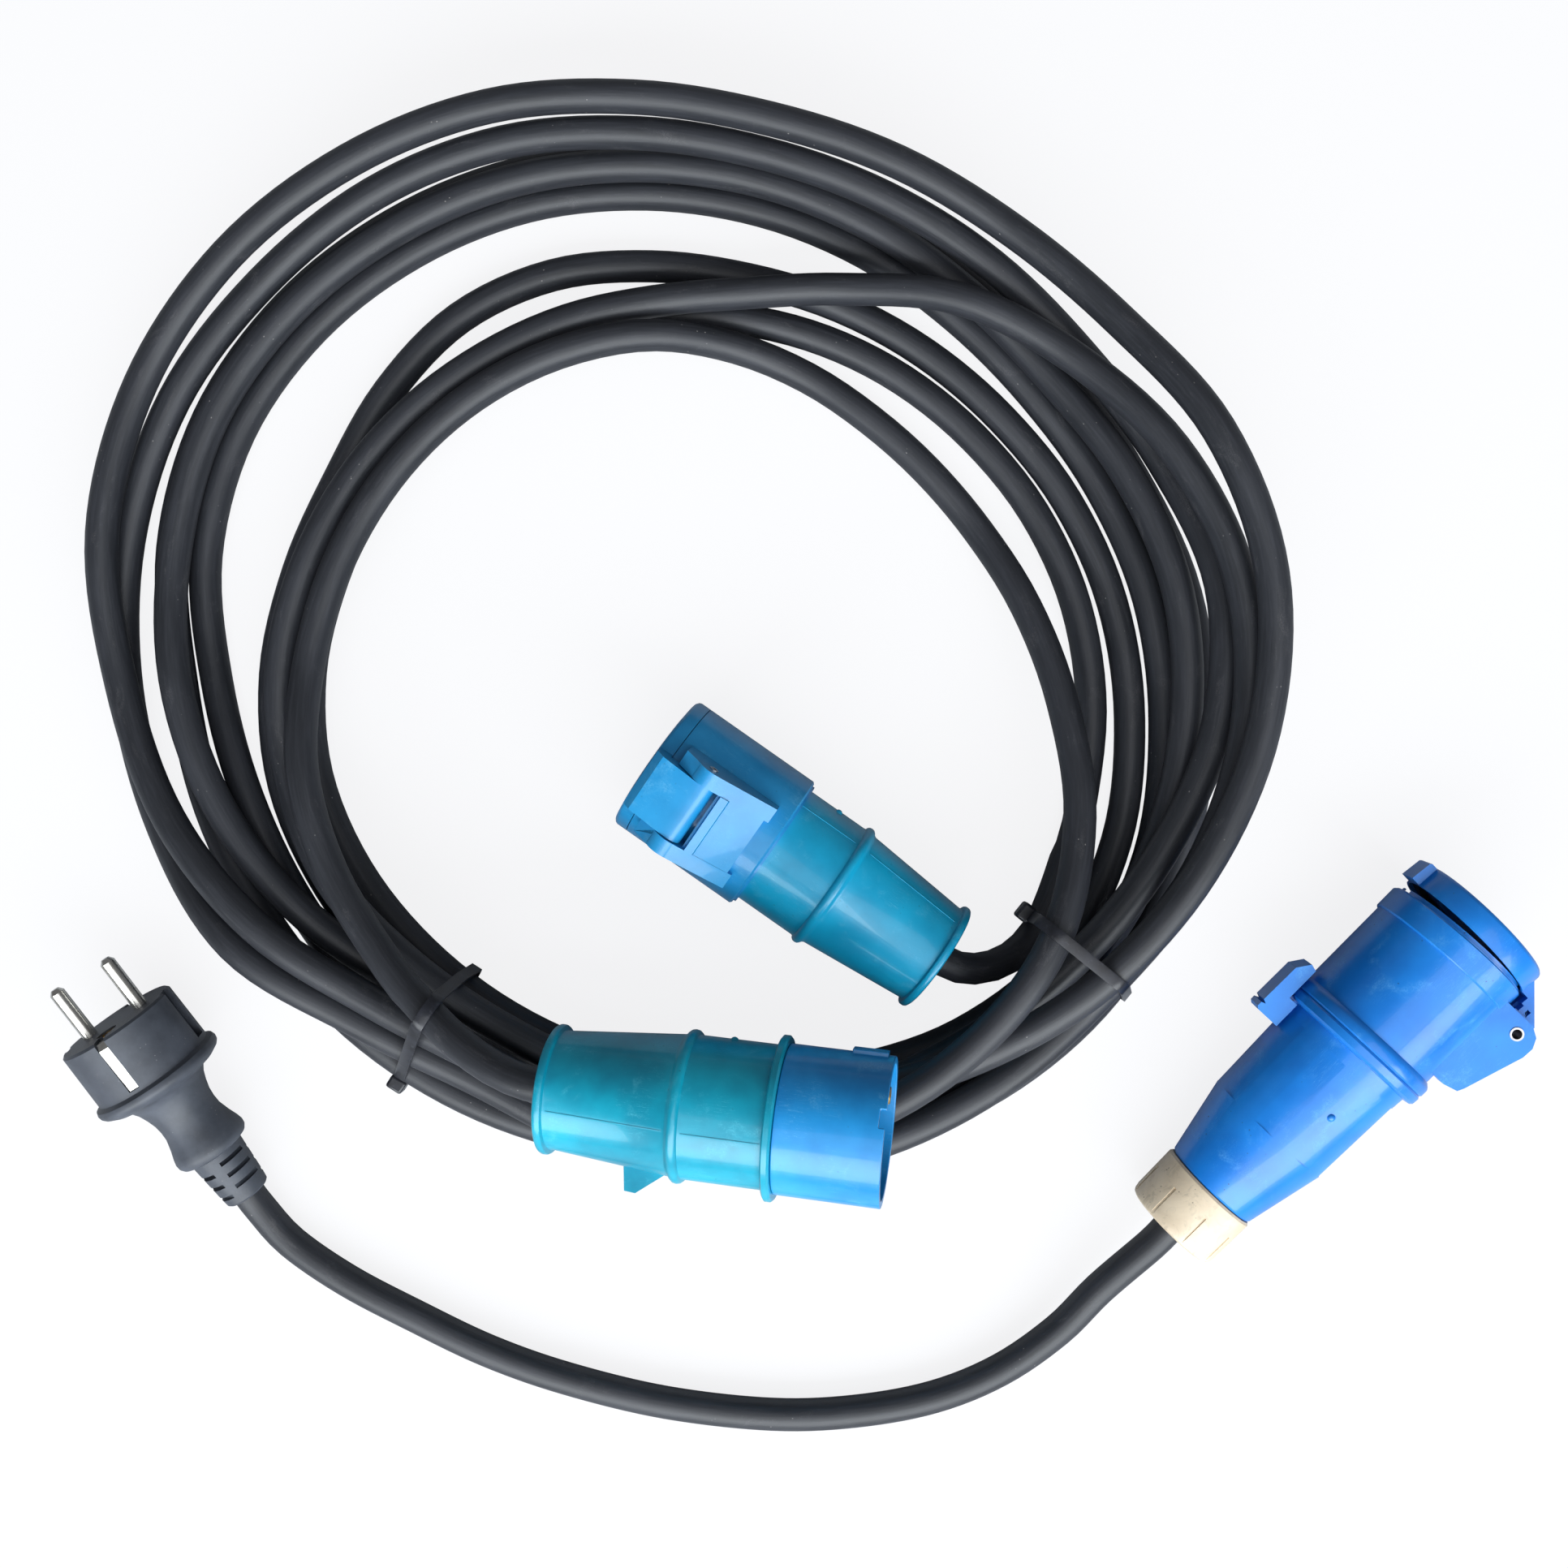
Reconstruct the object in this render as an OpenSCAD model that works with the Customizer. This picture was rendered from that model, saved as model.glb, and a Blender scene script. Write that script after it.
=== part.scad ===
// Shore power cord for a caravan: a coiled extension lead and a short mains adapter lead.
// Right-handed millimetres, +Z up, resting on the floor at z = 0.
// The origin is under the middle of the four connectors.

/* [Cable] */
// outside diameter of the rubber cable
cable_d = 10.5; // [8:0.5:16]
// least distance between the centrelines of two turns that touch
turn_pitch = 11.2; // [10.8:0.1:14]
// steepest climb of a turn over the ones below it
climb = 0.32; // [0.15:0.01:0.6]

/* [Industrial plug and connectors] */
// outside diameter of the plug's shroud
shroud_d = 43.5; // [40:0.5:50]
// outside diameter of a connector's front body
body_d = 48; // [46:0.5:56]
// wall of the housings
wall = 2.2; // [1.5:0.1:3]
// radius of the circle that the pins stand on
pin_circle = 10.5; // [9:0.5:14]
// diameter of the live and neutral pins
pin_d = 5; // [4:0.1:6]
// diameter of the earth pin
earth_d = 7; // [6:0.1:8]
// opening of the extension's lid
socket_open = 0; // [0:1:110]
// opening of the adapter's lid
adapter_open = 4; // [0:1:105]

/* [Mains plug] */
// diameter of the plug's face
face_d = 38.6; // [36:0.2:40]
// diameter of the mains pins
mains_pin_d = 4.8; // [4:0.1:5]
// distance between the mains pins
mains_pin_gap = 19; // [18:0.5:20]

/* [Cable ties] */
// width of the strap
tie_w = 3.8; // [2.5:0.1:8]
// thickness of the strap
tie_t = 1.0; // [0.8:0.1:1.6]

/* [Hidden] */
$fn = 64;
// every place is worked out from the middle of the work table, then moved here
table = [-3.2, 64.6, 0];
teal = [0.10, 0.56, 0.66];
blue = [0.16, 0.48, 0.86];
black = [0.10, 0.10, 0.12];
cream = [0.80, 0.76, 0.69];
steel = [0.75, 0.76, 0.78];
brass = [0.80, 0.66, 0.36];

cable_r = cable_d / 2;
body_r = body_d / 2;
shroud_r = shroud_d / 2;
bore_r = shroud_r + 0.25;
carrier_r = shroud_r - wall - 0.55;
hinge_r = body_r + 4.6;
barrel_r = 4;
// where the jacket of a cable ends inside each head
core_x = 26;
adapter_core_x = 36;
mains_core_x = -55.5;
hinge_pin_r = 1.5;
adapter_pin_r = 2.2;
ear_in = 10.3;
ear_out = 15.4;
mouth_x = 107;
socket_hinge_x = 94;
adapter_mouth = 132;
adapter_hinge_x = 121.4;
adapter_shift = adapter_mouth - mouth_x;

// places of the four heads: the rear end of the axis, heading, rise and roll
plug_at = [[-69.6, -90.8, 67.7], -5.5, 8.6, 90];
socket_at = [[50.3, -57.0, 24.0], 145, 0, -12];
adapter_at = [[128.0, -146.6, 16.23], 47.3, 6.1, 90];
mains_at = [[-217.4, -77.0, 26.4], 121.5, 14, 0];

module at_head(p) {
  translate(p[0] + table) rotate([0, 0, p[1]]) rotate([0, -p[2], 0]) rotate([p[3], 0, 0]) children();
}

// a point of a head's own frame in the common frame
function head_point(p, v) =
  let (cr = cos(p[3]), sr = sin(p[3]), cp = cos(p[2]), sp = sin(p[2]), ch = cos(p[1]), sh = sin(p[1]))
  let (a = [v[0], v[1] * cr - v[2] * sr, v[1] * sr + v[2] * cr])
  let (b = [a[0] * cp - a[2] * sp, a[1], a[0] * sp + a[2] * cp])
  p[0] + table + [b[0] * ch - b[1] * sh, b[0] * sh + b[1] * ch, b[2]];

// round bar along X, straight or tapered
module bar(x0, x1, r0, r1 = -1) {
  translate([x0, 0, 0]) rotate([0, 90, 0]) cylinder(h = x1 - x0, r1 = r0, r2 = r1 < 0 ? r0 : r1);
}

// solid of revolution about X from [x, r] pairs
module turned(profile) {
  rotate([90, 0, 90]) rotate_extrude($fn = 96) polygon([for (p = profile) [p[1], p[0]]]);
}

module ring(x0, x1, r_in, r_out) {
  turned([[x0, r_in], [x1, r_in], [x1, r_out], [x0, r_out]]);
}

// plate in the X-Z plane between two values of y
module plate(y0, y1, outline) {
  translate([0, y1, 0]) rotate([90, 0, 0]) linear_extrude(y1 - y0) polygon(outline);
}

// places a child at each pin of the three-pole pattern: earth at the bottom
module at_pole(angle) {
  translate([0, pin_circle * cos(angle), pin_circle * sin(angle)]) children();
}
poles = [30, 150, -90];

// tube swept along points, with its lowest face cut at z = low
function tangent(p, i) =
  let (a = p[max(i - 1, 0)], b = p[min(i + 1, len(p) - 1)]) (b - a) / norm(b - a);
function side_of(t) = let (s = cross(t, [0, 0, 1])) s / norm(s);

module tube(path, r, sides, low = -1000, first = [0, 0, 0], last = [0, 0, 0]) {
  n = len(path);
  turn = sides == 6 ? 0 : 180 / sides;
  pts = [for (i = [0:n - 1])
    let (t = i == 0 && norm(first) > 0 ? first : i == n - 1 && norm(last) > 0 ? last : tangent(path, i))
    let (s = side_of(t), u = cross(s, t))
    for (k = [0:sides - 1])
      let (q = path[i] + r * (cos(360 * k / sides + turn) * s + sin(360 * k / sides + turn) * u))
      [q[0], q[1], max(q[2], low)]];
  skin = [for (i = [0:n - 2], k = [0:sides - 1])
    let (a = i * sides + k, b = i * sides + (k + 1) % sides)
    each [[a, b, a + sides], [b, b + sides, a + sides]]];
  caps = [for (k = [1:sides - 2]) each [[0, k + 1, k],
    [(n - 1) * sides, (n - 1) * sides + k, (n - 1) * sides + k + 1]]];
  polyhedron(points = pts, faces = concat(skin, caps), convexity = 12);
}

// ---- extension cable: nine turns laid one after the other ----
coil_c = [-33.6, 48.9];
floor_z = 0.4 * cable_d;
tie_floor = 5.75;
// reach of each turn from the coil's middle at nine stations, 40 degrees apart from 320 degrees
reach = [
  [152, 135.5, 118, 110.5, 112.5, 118, 133, 139.5, 152],
  [166, 148, 129.5, 124.5, 133.5, 130, 144.5, 151, 163.5],
  [177.5, 159.5, 143.5, 148, 159.5, 167, 156, 162.5, 175],
  [183.5, 171, 155, 159.5, 171, 178.5, 167.5, 168.5, 169.5],
  [172, 165, 149, 154, 165, 173, 161.5, 145, 158],
  [165, 176, 160, 159.5, 176, 189, 187, 159, 174],
  [179, 180, 151, 116, 113, 123.5, 138.5, 139.5, 152],
  [172.5, 185, 171, 168, 185, 197, 176.5, 150, 163],
  [153, 118, 99, 99.5, 102.5, 112.5, 129, 142, 150]];
stations = [for (row = reach) each row];
rings_a_turn = 24;
last_ring = 210;
function blend(a, b, c, d, t) =
  b + 0.5 * t * (c - a + t * (2 * a - 5 * b + 4 * c - d + t * (3 * (b - c) + d - a)));
function station(k) = stations[min(max(k, 0), len(stations) - 1)];
function reach_at(u) =
  let (i = floor(u)) blend(station(i - 1), station(i), station(i + 1), station(i + 2), u - i);
function ring_angle(k) = 320 + 15 * k;
function ring_place(k) =
  coil_c + reach_at(15 * k / 40) * [cos(ring_angle(k)), sin(ring_angle(k))];

// the end that comes out of the connector, then the turns, then the end that enters the plug
lead_in = [[50.3, -57, 24], [62.9, -61, 19], [75.4, -58, 12.6], [85, -49.6, 7.4], [91, -38, 4.6],
  [95.2, -26, 4.2]];
lead_out = [[-114, -67.1, 49.6], [-104.2, -75.7, 54.6], [-93.6, -82.8, 59.9], [-82.1, -88.1, 64.6]];
n_in = len(lead_in);
spots = concat([for (p = lead_in) [p[0], p[1]]], [for (k = [1:last_ring]) ring_place(k)]);
n_spots = len(spots);
steps = [for (i = [0:n_spots - 1]) i == 0 ? 0 : norm(spots[i] - spots[i - 1])];
function left_over(i) = i >= n_spots - 1 ? 0 : steps[i + 1] + left_over(i + 1);
under_tie = [for (i = [0:n_spots - 1])
  let (a = (ring_angle(i - n_in + 1)) % 360) i >= n_in && (a == 320 || a == 230 || a == 245)];

// height that a point needs over one length of an earlier turn
function over(q, a, b, za, zb, beside) =
  let (ab = b - a, t = max(0, min(1, ((q - a) * ab) / (ab * ab))), d = norm(q - a - ab * t))
  let (h = za + (zb - za) * t)
  d >= turn_pitch || (beside && d * d + (h - floor_z) ^ 2 >= turn_pitch ^ 2)
    ? 0 : h + sqrt(turn_pitch ^ 2 - d * d);
samples = 4;
ahead = 8;
function needs(z, i) = [for (s = [0:samples - 1])
  let (t = s / samples, q = spots[i] * (1 - t) + spots[min(i + 1, n_spots - 1)] * t)
  max([floor_z, for (turn = [1:9]) let (m = i - rings_a_turn * turn)
    if (m >= -3) for (h = [max(0, m - 4):m + 3])
      if (h + 1 < len(z)) over(q, spots[h], spots[h + 1], z[h], z[h + 1],
        h < n_in && i < n_in + 2 * rings_a_turn)])];
end_z = 46;
function reach_sum(i, m) = m == 0 ? 0 : steps[i + m] + reach_sum(i, m - 1);
function height(z, need, i) = max([
  under_tie[i] ? tie_floor : floor_z,
  z[i - 1] - climb * steps[i],
  end_z - climb * left_over(i),
  for (s = [1:samples - 1]) need[i - 1][s],
  for (m = [0:ahead]) if (i + m < n_spots) for (s = [0:samples - 1])
    let (on = i + m + 1 < n_spots ? steps[i + m + 1] * s / samples : 0)
    m == 0 ? need[i][s] : need[i + m][s] - climb * (reach_sum(i, m) + on)]);
function lay(z, need, i) = i == n_spots ? z
  : let (more = i + ahead < n_spots ? concat(need, [needs(z, i + ahead)]) : need)
    lay(concat(z, [i < n_in ? lead_in[i][2] : height(z, more, i)]), more, i + 1);
heights = lay([], [for (i = [0:ahead - 1]) [for (s = [0:samples - 1]) floor_z]], 0);
laid = concat([for (i = [0:n_spots - 1]) [spots[i][0], spots[i][1], heights[i]]], lead_out);
plug_in = head_point(plug_at, [0, 0, 0]) - table;
plug_axis = head_point(plug_at, [1, 0, 0]) - head_point(plug_at, [0, 0, 0]);
socket_axis = head_point(socket_at, [1, 0, 0]) - head_point(socket_at, [0, 0, 0]);
coil_path = concat([lead_in[0] + core_x * socket_axis], laid, [plug_in, plug_in + core_x * plug_axis]);
n_path = len(coil_path);
function path_length(p, i = 1) = i >= len(p) ? 0 : norm(p[i] - p[i - 1]) + path_length(p, i + 1);

// least distance between turns, sampled three times a length
fine = [for (i = [0:n_path - 2], s = [0:2]) coil_path[i] * (1 - s / 3) + coil_path[i + 1] * s / 3];
module measure() {
  gap = min([for (i = [0:3:len(fine) - 1], j = [i + 27:len(fine) - 1]) norm(fine[i] - fine[j])]);
  echo(cable_metres = path_length(coil_path) / 1000, least_gap = gap - cable_d,
    top = max(heights) + cable_r);
}

module extension_cable() {
  color(black) translate(table)
    tube(coil_path, cable_r, 6, 0, socket_axis * -1, plug_axis);
}

// strap round the pile at one angle: outline in [reach, z]
module strap(angle, outline, head) {
  translate([coil_c[0], coil_c[1], 0] + table) rotate([0, 0, angle]) {
    translate([0, tie_w / 2, 0]) rotate([90, 0, 0]) linear_extrude(tie_w) difference() {
      polygon(outline);
      polygon(inset(outline));
    }
    translate([head[0], -tie_w / 2 - 1, head[1]]) cube([4.6, tie_w + 2, 6.4]);
  }
}

// outline moved inwards by the strap's thickness
function inward(a, b) = let (v = b - a) [-v[1], v[0]] / norm(v);
function inset(o) = [for (i = [0:len(o) - 1])
  let (n = len(o), a = inward(o[(i + n - 1) % n], o[i]), b = inward(o[i], o[(i + 1) % n]))
  let (m = a + b) o[i] + m * (2 * tie_t / (m * m))];
left_pile = [[131.2, 3], [134.3, 0], [152.9, 0], [164.7, 2.9], [173.6, 15.8], [173.6, 20.4],
  [165.5, 32.5], [145.8, 59.4], [139.5, 59.4], [135.2, 55.2], [131.7, 28.7]];
right_pile = [[146.6, 3.5], [150, 0], [181.9, 0], [190.2, 13.1], [190.2, 16.6], [185.2, 32.9],
  [178.7, 53.8], [175.3, 57], [151.6, 56.8], [148.5, 55.5], [144.1, 51.1]];

module left_cable_tie() {
  color(black) strap(237.5, left_pile, [173.1, 14]);
}

module right_cable_tie() {
  color(black) strap(321, right_pile, [141.2, 26]);
}

// ---- rear housing shared by the extension's plug and connector ----
rear_outer = [[0, 18.2], [1, 19.2], [2.2, 19.2], [2.9, 17.5], [39.6, 20.8], [40.4, 21.9], [41.2, 22.4],
  [42.4, 22.4], [43.2, 21.9], [43.6, 21]];
seat_x = 14;
seat_w = 8;
screw_y = 8.6;
module clamp_seat() {
  difference() {
    intersection() {
      translate([seat_x, -13, -18]) cube([seat_w, 26, 17.4]);
      bar(seat_x - 1, seat_x + seat_w + 1, 17);
    }
    bar(seat_x - 1, seat_x + seat_w + 1, cable_r + 0.1);
    for (y = [-screw_y, screw_y]) translate([seat_x + seat_w / 2, y, -8]) cylinder(h = 10, r = 1.52);
  }
}

module clamp_bar(r_in) {
  difference() {
    translate([seat_x, -11.4, 0.2]) cube([seat_w, 22.8, 8.3]);
    bar(seat_x - 1, seat_x + seat_w + 1, r_in);
    for (y = [-screw_y, screw_y]) translate([seat_x + seat_w / 2, y, -1]) cylinder(h = 12, r = 1.6);
  }
}

module clamp_screw_pair() {
  for (y = [-screw_y, screw_y]) translate([seat_x + seat_w / 2, y, -7.6]) difference() {
    union() {
      cylinder(h = 16.2, r = 1.5);
      translate([0, 0, 16.1]) cylinder(h = 1.9, r = 2.7);
    }
    translate([-3, -0.4, 17.1]) cube([6, 0.8, 2]);
  }
}

module rear_shell(tail) {
  difference() {
    turned(concat([[0, 0]], rear_outer, tail, [[tail[len(tail) - 1][0], 0]]));
    turned([[3, 0], [3, 15.2], [40, 18.6], [66, 18.8], [74, 18.8], [74, 0]]);
    bar(-1, 4, cable_r + 0.5);
  }
  ring(3, 10, cable_r + 3.4, cable_r + 5.4);
  clamp_seat();
}

module grommet() {
  ring(3.05, 9, cable_r + 0.05, cable_r + 3.35);
}

// ---- carriers, pins and contacts ----
module carrier_stem(x0, x1, cup_r, cup_x) {
  difference() {
    bar(x0, x1, 16.4);
    for (a = poles) at_pole(a) bar(x0 - 1, cup_x, cup_r);
    for (a = poles) rotate([a - 90, 0, 0]) translate([x0 + 5, 0, pin_circle]) cylinder(h = 8, r = 1.75);
    bar(x0 - 1, x0 + 6, 4.2);
  }
}

// terminal block end of a pin or contact: wire hole from the rear and screw hole from outside
module terminal(x0, x1, r, a) {
  difference() {
    at_pole(a) bar(x0, x1, r);
    at_pole(a) bar(x0 - 1, x1 - 2, 1.7);
    rotate([a - 90, 0, 0]) translate([x0 + 4.2, 0, pin_circle]) cylinder(h = 8, r = 1.55);
  }
}

module terminal_screw_set(x0) {
  for (a = poles) rotate([a - 90, 0, 0]) translate([x0, 0, pin_circle + 1.75]) difference() {
    cylinder(h = 4.1, r = 1.5);
    translate([-2, -0.35, 3.2]) cube([4, 0.7, 2]);
  }
}

// jacket end of the cable with its three cores fanned out to the terminals
module cores(x0, x1) {
  bar(x0, x0 + 3, cable_r - 0.35);
  for (a = poles)
    let (c = [0, cos(a), sin(a)])
    tube([[x0 + 1, 0, 0] + 2.2 * c, [x0 + 5, 0, 0] + 2.4 * c, [x0 + 8, 0, 0] + 3.6 * c,
      [x1 - 5, 0, 0] + (pin_circle - 1.6) * c, [x1 - 2, 0, 0] + pin_circle * c,
      [x1 + 6, 0, 0] + pin_circle * c], 1.5, 8);
}

stem_x = 50;

module plug_rear_housing() {
  color(teal) at_head(plug_at) {
    difference() {
      rear_shell([[67.6, 21], [67.8, 23.4], [68.3, 24], [69.9, 24], [70.4, 23.5]]);
      turned([[62, 0], [62, 18.8], [71, 18.8], [71, 0]]);
    }
    plate(-1.6, 1.6, [[24.6, 18.4], [25.6, 26.9], [29, 27.2], [38, 20.2], [38, 19.6], [24.6, 18.4]]);
    translate([54, 0, -20.6]) sphere(r = 1.3, $fn = 24);
  }
}

module plug_front_body() {
  color(blue) at_head(plug_at) difference() {
    union() {
      turned([[62, 16.5], [72.4, 16.5], [72.4, shroud_r - wall], [101.5, shroud_r - wall],
        [101.5, shroud_r - 0.4], [101.1, shroud_r], [70.5, shroud_r], [70.5, 18.7], [62, 18.7]]);
      translate([89, -2.5, -shroud_r - 1.3]) cube([10.5, 5, 2.6]);
    }
    rotate([-21, 0, 0]) translate([99.7, shroud_r - 4, -2.6]) cube([5, 6, 5.2]);
  }
}

module plug_pin_carrier() {
  color(black) at_head(plug_at) difference() {
    union() {
      carrier_stem(stem_x, 72.5, 4.05, 61);
      bar(72.5, 78, shroud_r - wall - 0.1);
    }
    for (a = [30, 150]) at_pole(a) bar(60, 79, pin_d / 2 - pin_neck + 0.02);
    at_pole(-90) bar(60, 79, earth_d / 2 - pin_neck + 0.02);
  }
}

// a pin is a little slimmer where its carrier holds it
pin_neck = 0.2;
module round_pin(a, d, x_end) {
  terminal(stem_x + 0.8, 60.9, 4, a);
  at_pole(a) {
    bar(60.8, 78.1, d / 2 - pin_neck);
    bar(78.1, x_end - 1.5, d / 2);
    bar(x_end - 1.5, x_end, d / 2, d / 2 - 1.2);
  }
}

module plug_live_pin() {
  color(brass) at_head(plug_at) round_pin(30, pin_d, 98);
}

module plug_neutral_pin() {
  color(brass) at_head(plug_at) round_pin(150, pin_d, 98);
}

module plug_earth_pin() {
  color(brass) at_head(plug_at) round_pin(-90, earth_d, 101);
}

module plug_terminal_screws() {
  color(steel) at_head(plug_at) terminal_screw_set(stem_x + 5);
}

module plug_cable_clamp() {
  color(black) at_head(plug_at) clamp_bar(cable_r + 0.1);
}

module plug_clamp_screws() {
  color(steel) at_head(plug_at) clamp_screw_pair();
}

module plug_cable_seal() {
  color(black) at_head(plug_at) grommet();
}

module plug_core_wires() {
  color([0.45, 0.30, 0.18]) at_head(plug_at) cores(core_x + 0.05, stem_x);
}

// ---- connector ----
module socket_rear_housing() {
  color(teal) at_head(socket_at) {
    rear_shell([[66, 21], [72, 21]]);
    translate([54, -20.6, 0]) sphere(r = 1.3, $fn = 24);
  }
}

// front body: sleeve, key groove and mouth lip; x0 is where it meets the rear housing
module front_sleeve(x0, seat, mouth, rear_bore) {
  difference() {
    turned([[x0, rear_bore], [seat, rear_bore], [seat, bore_r], [mouth + 1.3, bore_r],
      [mouth + 1.3, bore_r + 0.6], [mouth, bore_r + 0.6], [mouth, body_r], [x0 + 0.6, body_r],
      [x0, body_r - 0.6]]);
    translate([seat + 4, -2.9, -bore_r - 1.3]) cube([60, 5.8, 4]);
  }
}

module ears(hx, outline, nose, pin_r = hinge_pin_r) {
  for (s = [0, 1]) mirror([0, s, 0]) difference() {
    union() {
      plate(ear_in, ear_out, outline);
      translate([hx, ear_out, hinge_r]) rotate([90, 0, 0]) cylinder(h = ear_out - ear_in, r = nose);
    }
    bar(hx - 60, hx + 60, body_r - 0.3);
    translate([hx, ear_out + 1, hinge_r]) rotate([90, 0, 0]) cylinder(h = 10, r = pin_r + 0.02);
  }
}

module bridge(outline) {
  difference() {
    plate(-ear_in, ear_in, outline);
    bar(outline[0][0] - 1, outline[0][0] + 60, body_r - 0.3);
  }
}

module socket_front_body() {
  color(blue) at_head(socket_at) {
    front_sleeve(65.8, 72, mouth_x, 21.05);
    ring(65.0, 65.81, 21.05, 22.6);
    ears(socket_hinge_x, [[71, 15], [71, 23.9], [90.6, 33], [96, 33.2], [104, 27.5], [104, 15]], 5.3);
    bridge([[72.5, 19], [72.5, 24.6], [84.4, 30.1], [84.7, 30.9], [87.4, 32], [87.7, 31.2], [87.9, 29.5],
      [88.6, 29.5], [88.6, 19]]);
  }
}

// lid: cap over the mouth, arm and barrel, drawn shut; a deep cap is hollow
// front is the arm's front edge from the mouth
module lid_shape(mouth, hx, deep, front, pin_r = hinge_pin_r) {
  hollow = deep > 0 ? [[mouth + 3.6, 17], [mouth + 3.6 + deep, 16.5]] : [];
  difference() {
    union() {
      turned(concat([[mouth + 0.3, bore_r + 1.2], [mouth + 3.6, bore_r + 1.2]], hollow,
        [[mouth + 3.6 + deep, 0], [mouth + 6.3 + deep, 0], [mouth + 6.1 + deep, 10], [mouth + 5.6 + deep, 20],
        [mouth + 5 + deep, body_r - 1], [mouth + 4 + deep, body_r], [mouth + 0.3, body_r]]));
      translate([hx, ear_in - 0.3, hinge_r]) rotate([90, 0, 0]) cylinder(h = 2 * ear_in - 0.6, r = barrel_r);
      difference() {
        plate(-ear_in + 0.3, ear_in - 0.3, concat([[hx, hinge_r - barrel_r],
          [mouth + 0.3, hinge_r - barrel_r], [mouth + 0.3, 18]], [for (p = front) [mouth + p[0], p[1]]],
          [[hx + 3, hinge_r + barrel_r], [hx, hinge_r + barrel_r]]));
        bar(mouth - 1, mouth + 3.6, bore_r + 1.2);
      }
    }
    translate([hx, 20, hinge_r]) rotate([90, 0, 0]) cylinder(h = 40, r = pin_r + 0.06);
    translate([hx, 4, hinge_r]) rotate([90, 0, 0]) cylinder(h = 8, r = pin_r < 2 ? 3 : 3.4);
  }
}

module swing(hx, angle) {
  translate([hx, 0, hinge_r]) rotate([0, -angle, 0]) translate([-hx, 0, -hinge_r]) children();
}

module lid_gasket(mouth) {
  ring(mouth + 1.7, mouth + 3.55, bore_r - 1.6, bore_r + 1.15);
}

module hinge_rod(hx, r, hole) {
  translate([hx, ear_out + 0.3, hinge_r]) rotate([90, 0, 0]) difference() {
    cylinder(h = 2 * ear_out + 0.6, r = r);
    translate([0, 0, -1]) cylinder(h = 2 * ear_out + 3, r = hole);
  }
}

// torsion spring round the hinge rod
module lid_spring(hx, r) {
  tube([for (k = [0:60]) [hx + r * cos(24 * k), -3.4 + 0.1133 * k, hinge_r + r * sin(24 * k)]], 0.4, 6);
}

module socket_lid() {
  color(blue) at_head(socket_at) swing(socket_hinge_x, socket_open)
    lid_shape(mouth_x, socket_hinge_x, 0, [[4.6, 18], [4.6, body_r + 3.4], [2, hinge_r + 1.6]]);
}

module socket_lid_gasket() {
  color(black) at_head(socket_at) swing(socket_hinge_x, socket_open) lid_gasket(mouth_x);
}

module socket_hinge_pin() {
  color(steel) at_head(socket_at) hinge_rod(socket_hinge_x, hinge_pin_r, 0.8);
}

module socket_lid_spring() {
  color(steel) at_head(socket_at) lid_spring(socket_hinge_x, 2.25);
}

// contact chambers and the holes in the face
module contact_block(shift) {
  translate([shift, 0, 0]) difference() {
    bar(75, mouth_x - 1, carrier_r);
    for (a = poles) at_pole(a) {
      bar(74, 100.2, a < 0 ? 4.65 : 3.65);
      bar(100, mouth_x, (a < 0 ? earth_d : pin_d) / 2 + 0.25);
    }
  }
}

// the block's base, where the cores meet the terminals
module terminal_base(shift, start = 72.1) {
  translate([shift, 0, 0]) difference() {
    union() {
      carrier_stem(stem_x, start, 4.75, 62.6);
      bar(start, 74.98, bore_r - 0.05);
    }
    for (a = poles) at_pole(a) bar(62, 76, a < 0 ? 4.65 : 3.65);
  }
}

module contact_tube(a, d, shift) {
  translate([shift, 0, 0]) {
    terminal(stem_x + 0.8, 62.4, 4, a);
    difference() {
      at_pole(a) bar(62.3, 100, d / 2 + 1.1);
      at_pole(a) bar(76, 101, d / 2 + 0.05);
      rotate([a - 90, 0, 0]) translate([80, -0.4, 0]) cube([22, 0.8, 20]);
    }
  }
}

module socket_contact_carrier() {
  color(black) at_head(socket_at) contact_block(0);
}

module socket_terminal_base() {
  color(black) at_head(socket_at) terminal_base(0);
}

module socket_live_contact() {
  color(brass) at_head(socket_at) contact_tube(30, pin_d, 0);
}

module socket_neutral_contact() {
  color(brass) at_head(socket_at) contact_tube(150, pin_d, 0);
}

module socket_earth_contact() {
  color(brass) at_head(socket_at) contact_tube(-90, earth_d, 0);
}

module socket_terminal_screws() {
  color(steel) at_head(socket_at) terminal_screw_set(stem_x + 5);
}

module socket_cable_clamp() {
  color(black) at_head(socket_at) clamp_bar(cable_r + 0.1);
}

module socket_clamp_screws() {
  color(steel) at_head(socket_at) clamp_screw_pair();
}

module socket_cable_seal() {
  color(black) at_head(socket_at) grommet();
}

module socket_core_wires() {
  color([0.45, 0.30, 0.18]) at_head(socket_at) cores(core_x + 0.05, stem_x);
}

// ---- adapter connector ----
nut_end = 19;
module adapter_gland_nut() {
  color(cream) at_head(adapter_at) difference() {
    turned([[0, 0], [0, 15.2], [0.9, 16.1], [3, 16.6], [nut_end - 0.8, 16.8], [nut_end, 16.2], [nut_end, 0]]);
    bar(-1, nut_end + 1, cable_r + 0.4);
    bar(4, nut_end + 1, 13.6);
    for (k = [0:7]) rotate([45 * k, 0, 0]) translate([-1, -0.5, 16.2]) cube([13, 1, 2]);
  }
}

module adapter_gland_sleeve() {
  color(black) at_head(adapter_at) turned([[5, cable_r + 0.05], [24, cable_r + 0.05], [24, 9.6],
    [9, 9.6], [5, 8]]);
}

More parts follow.
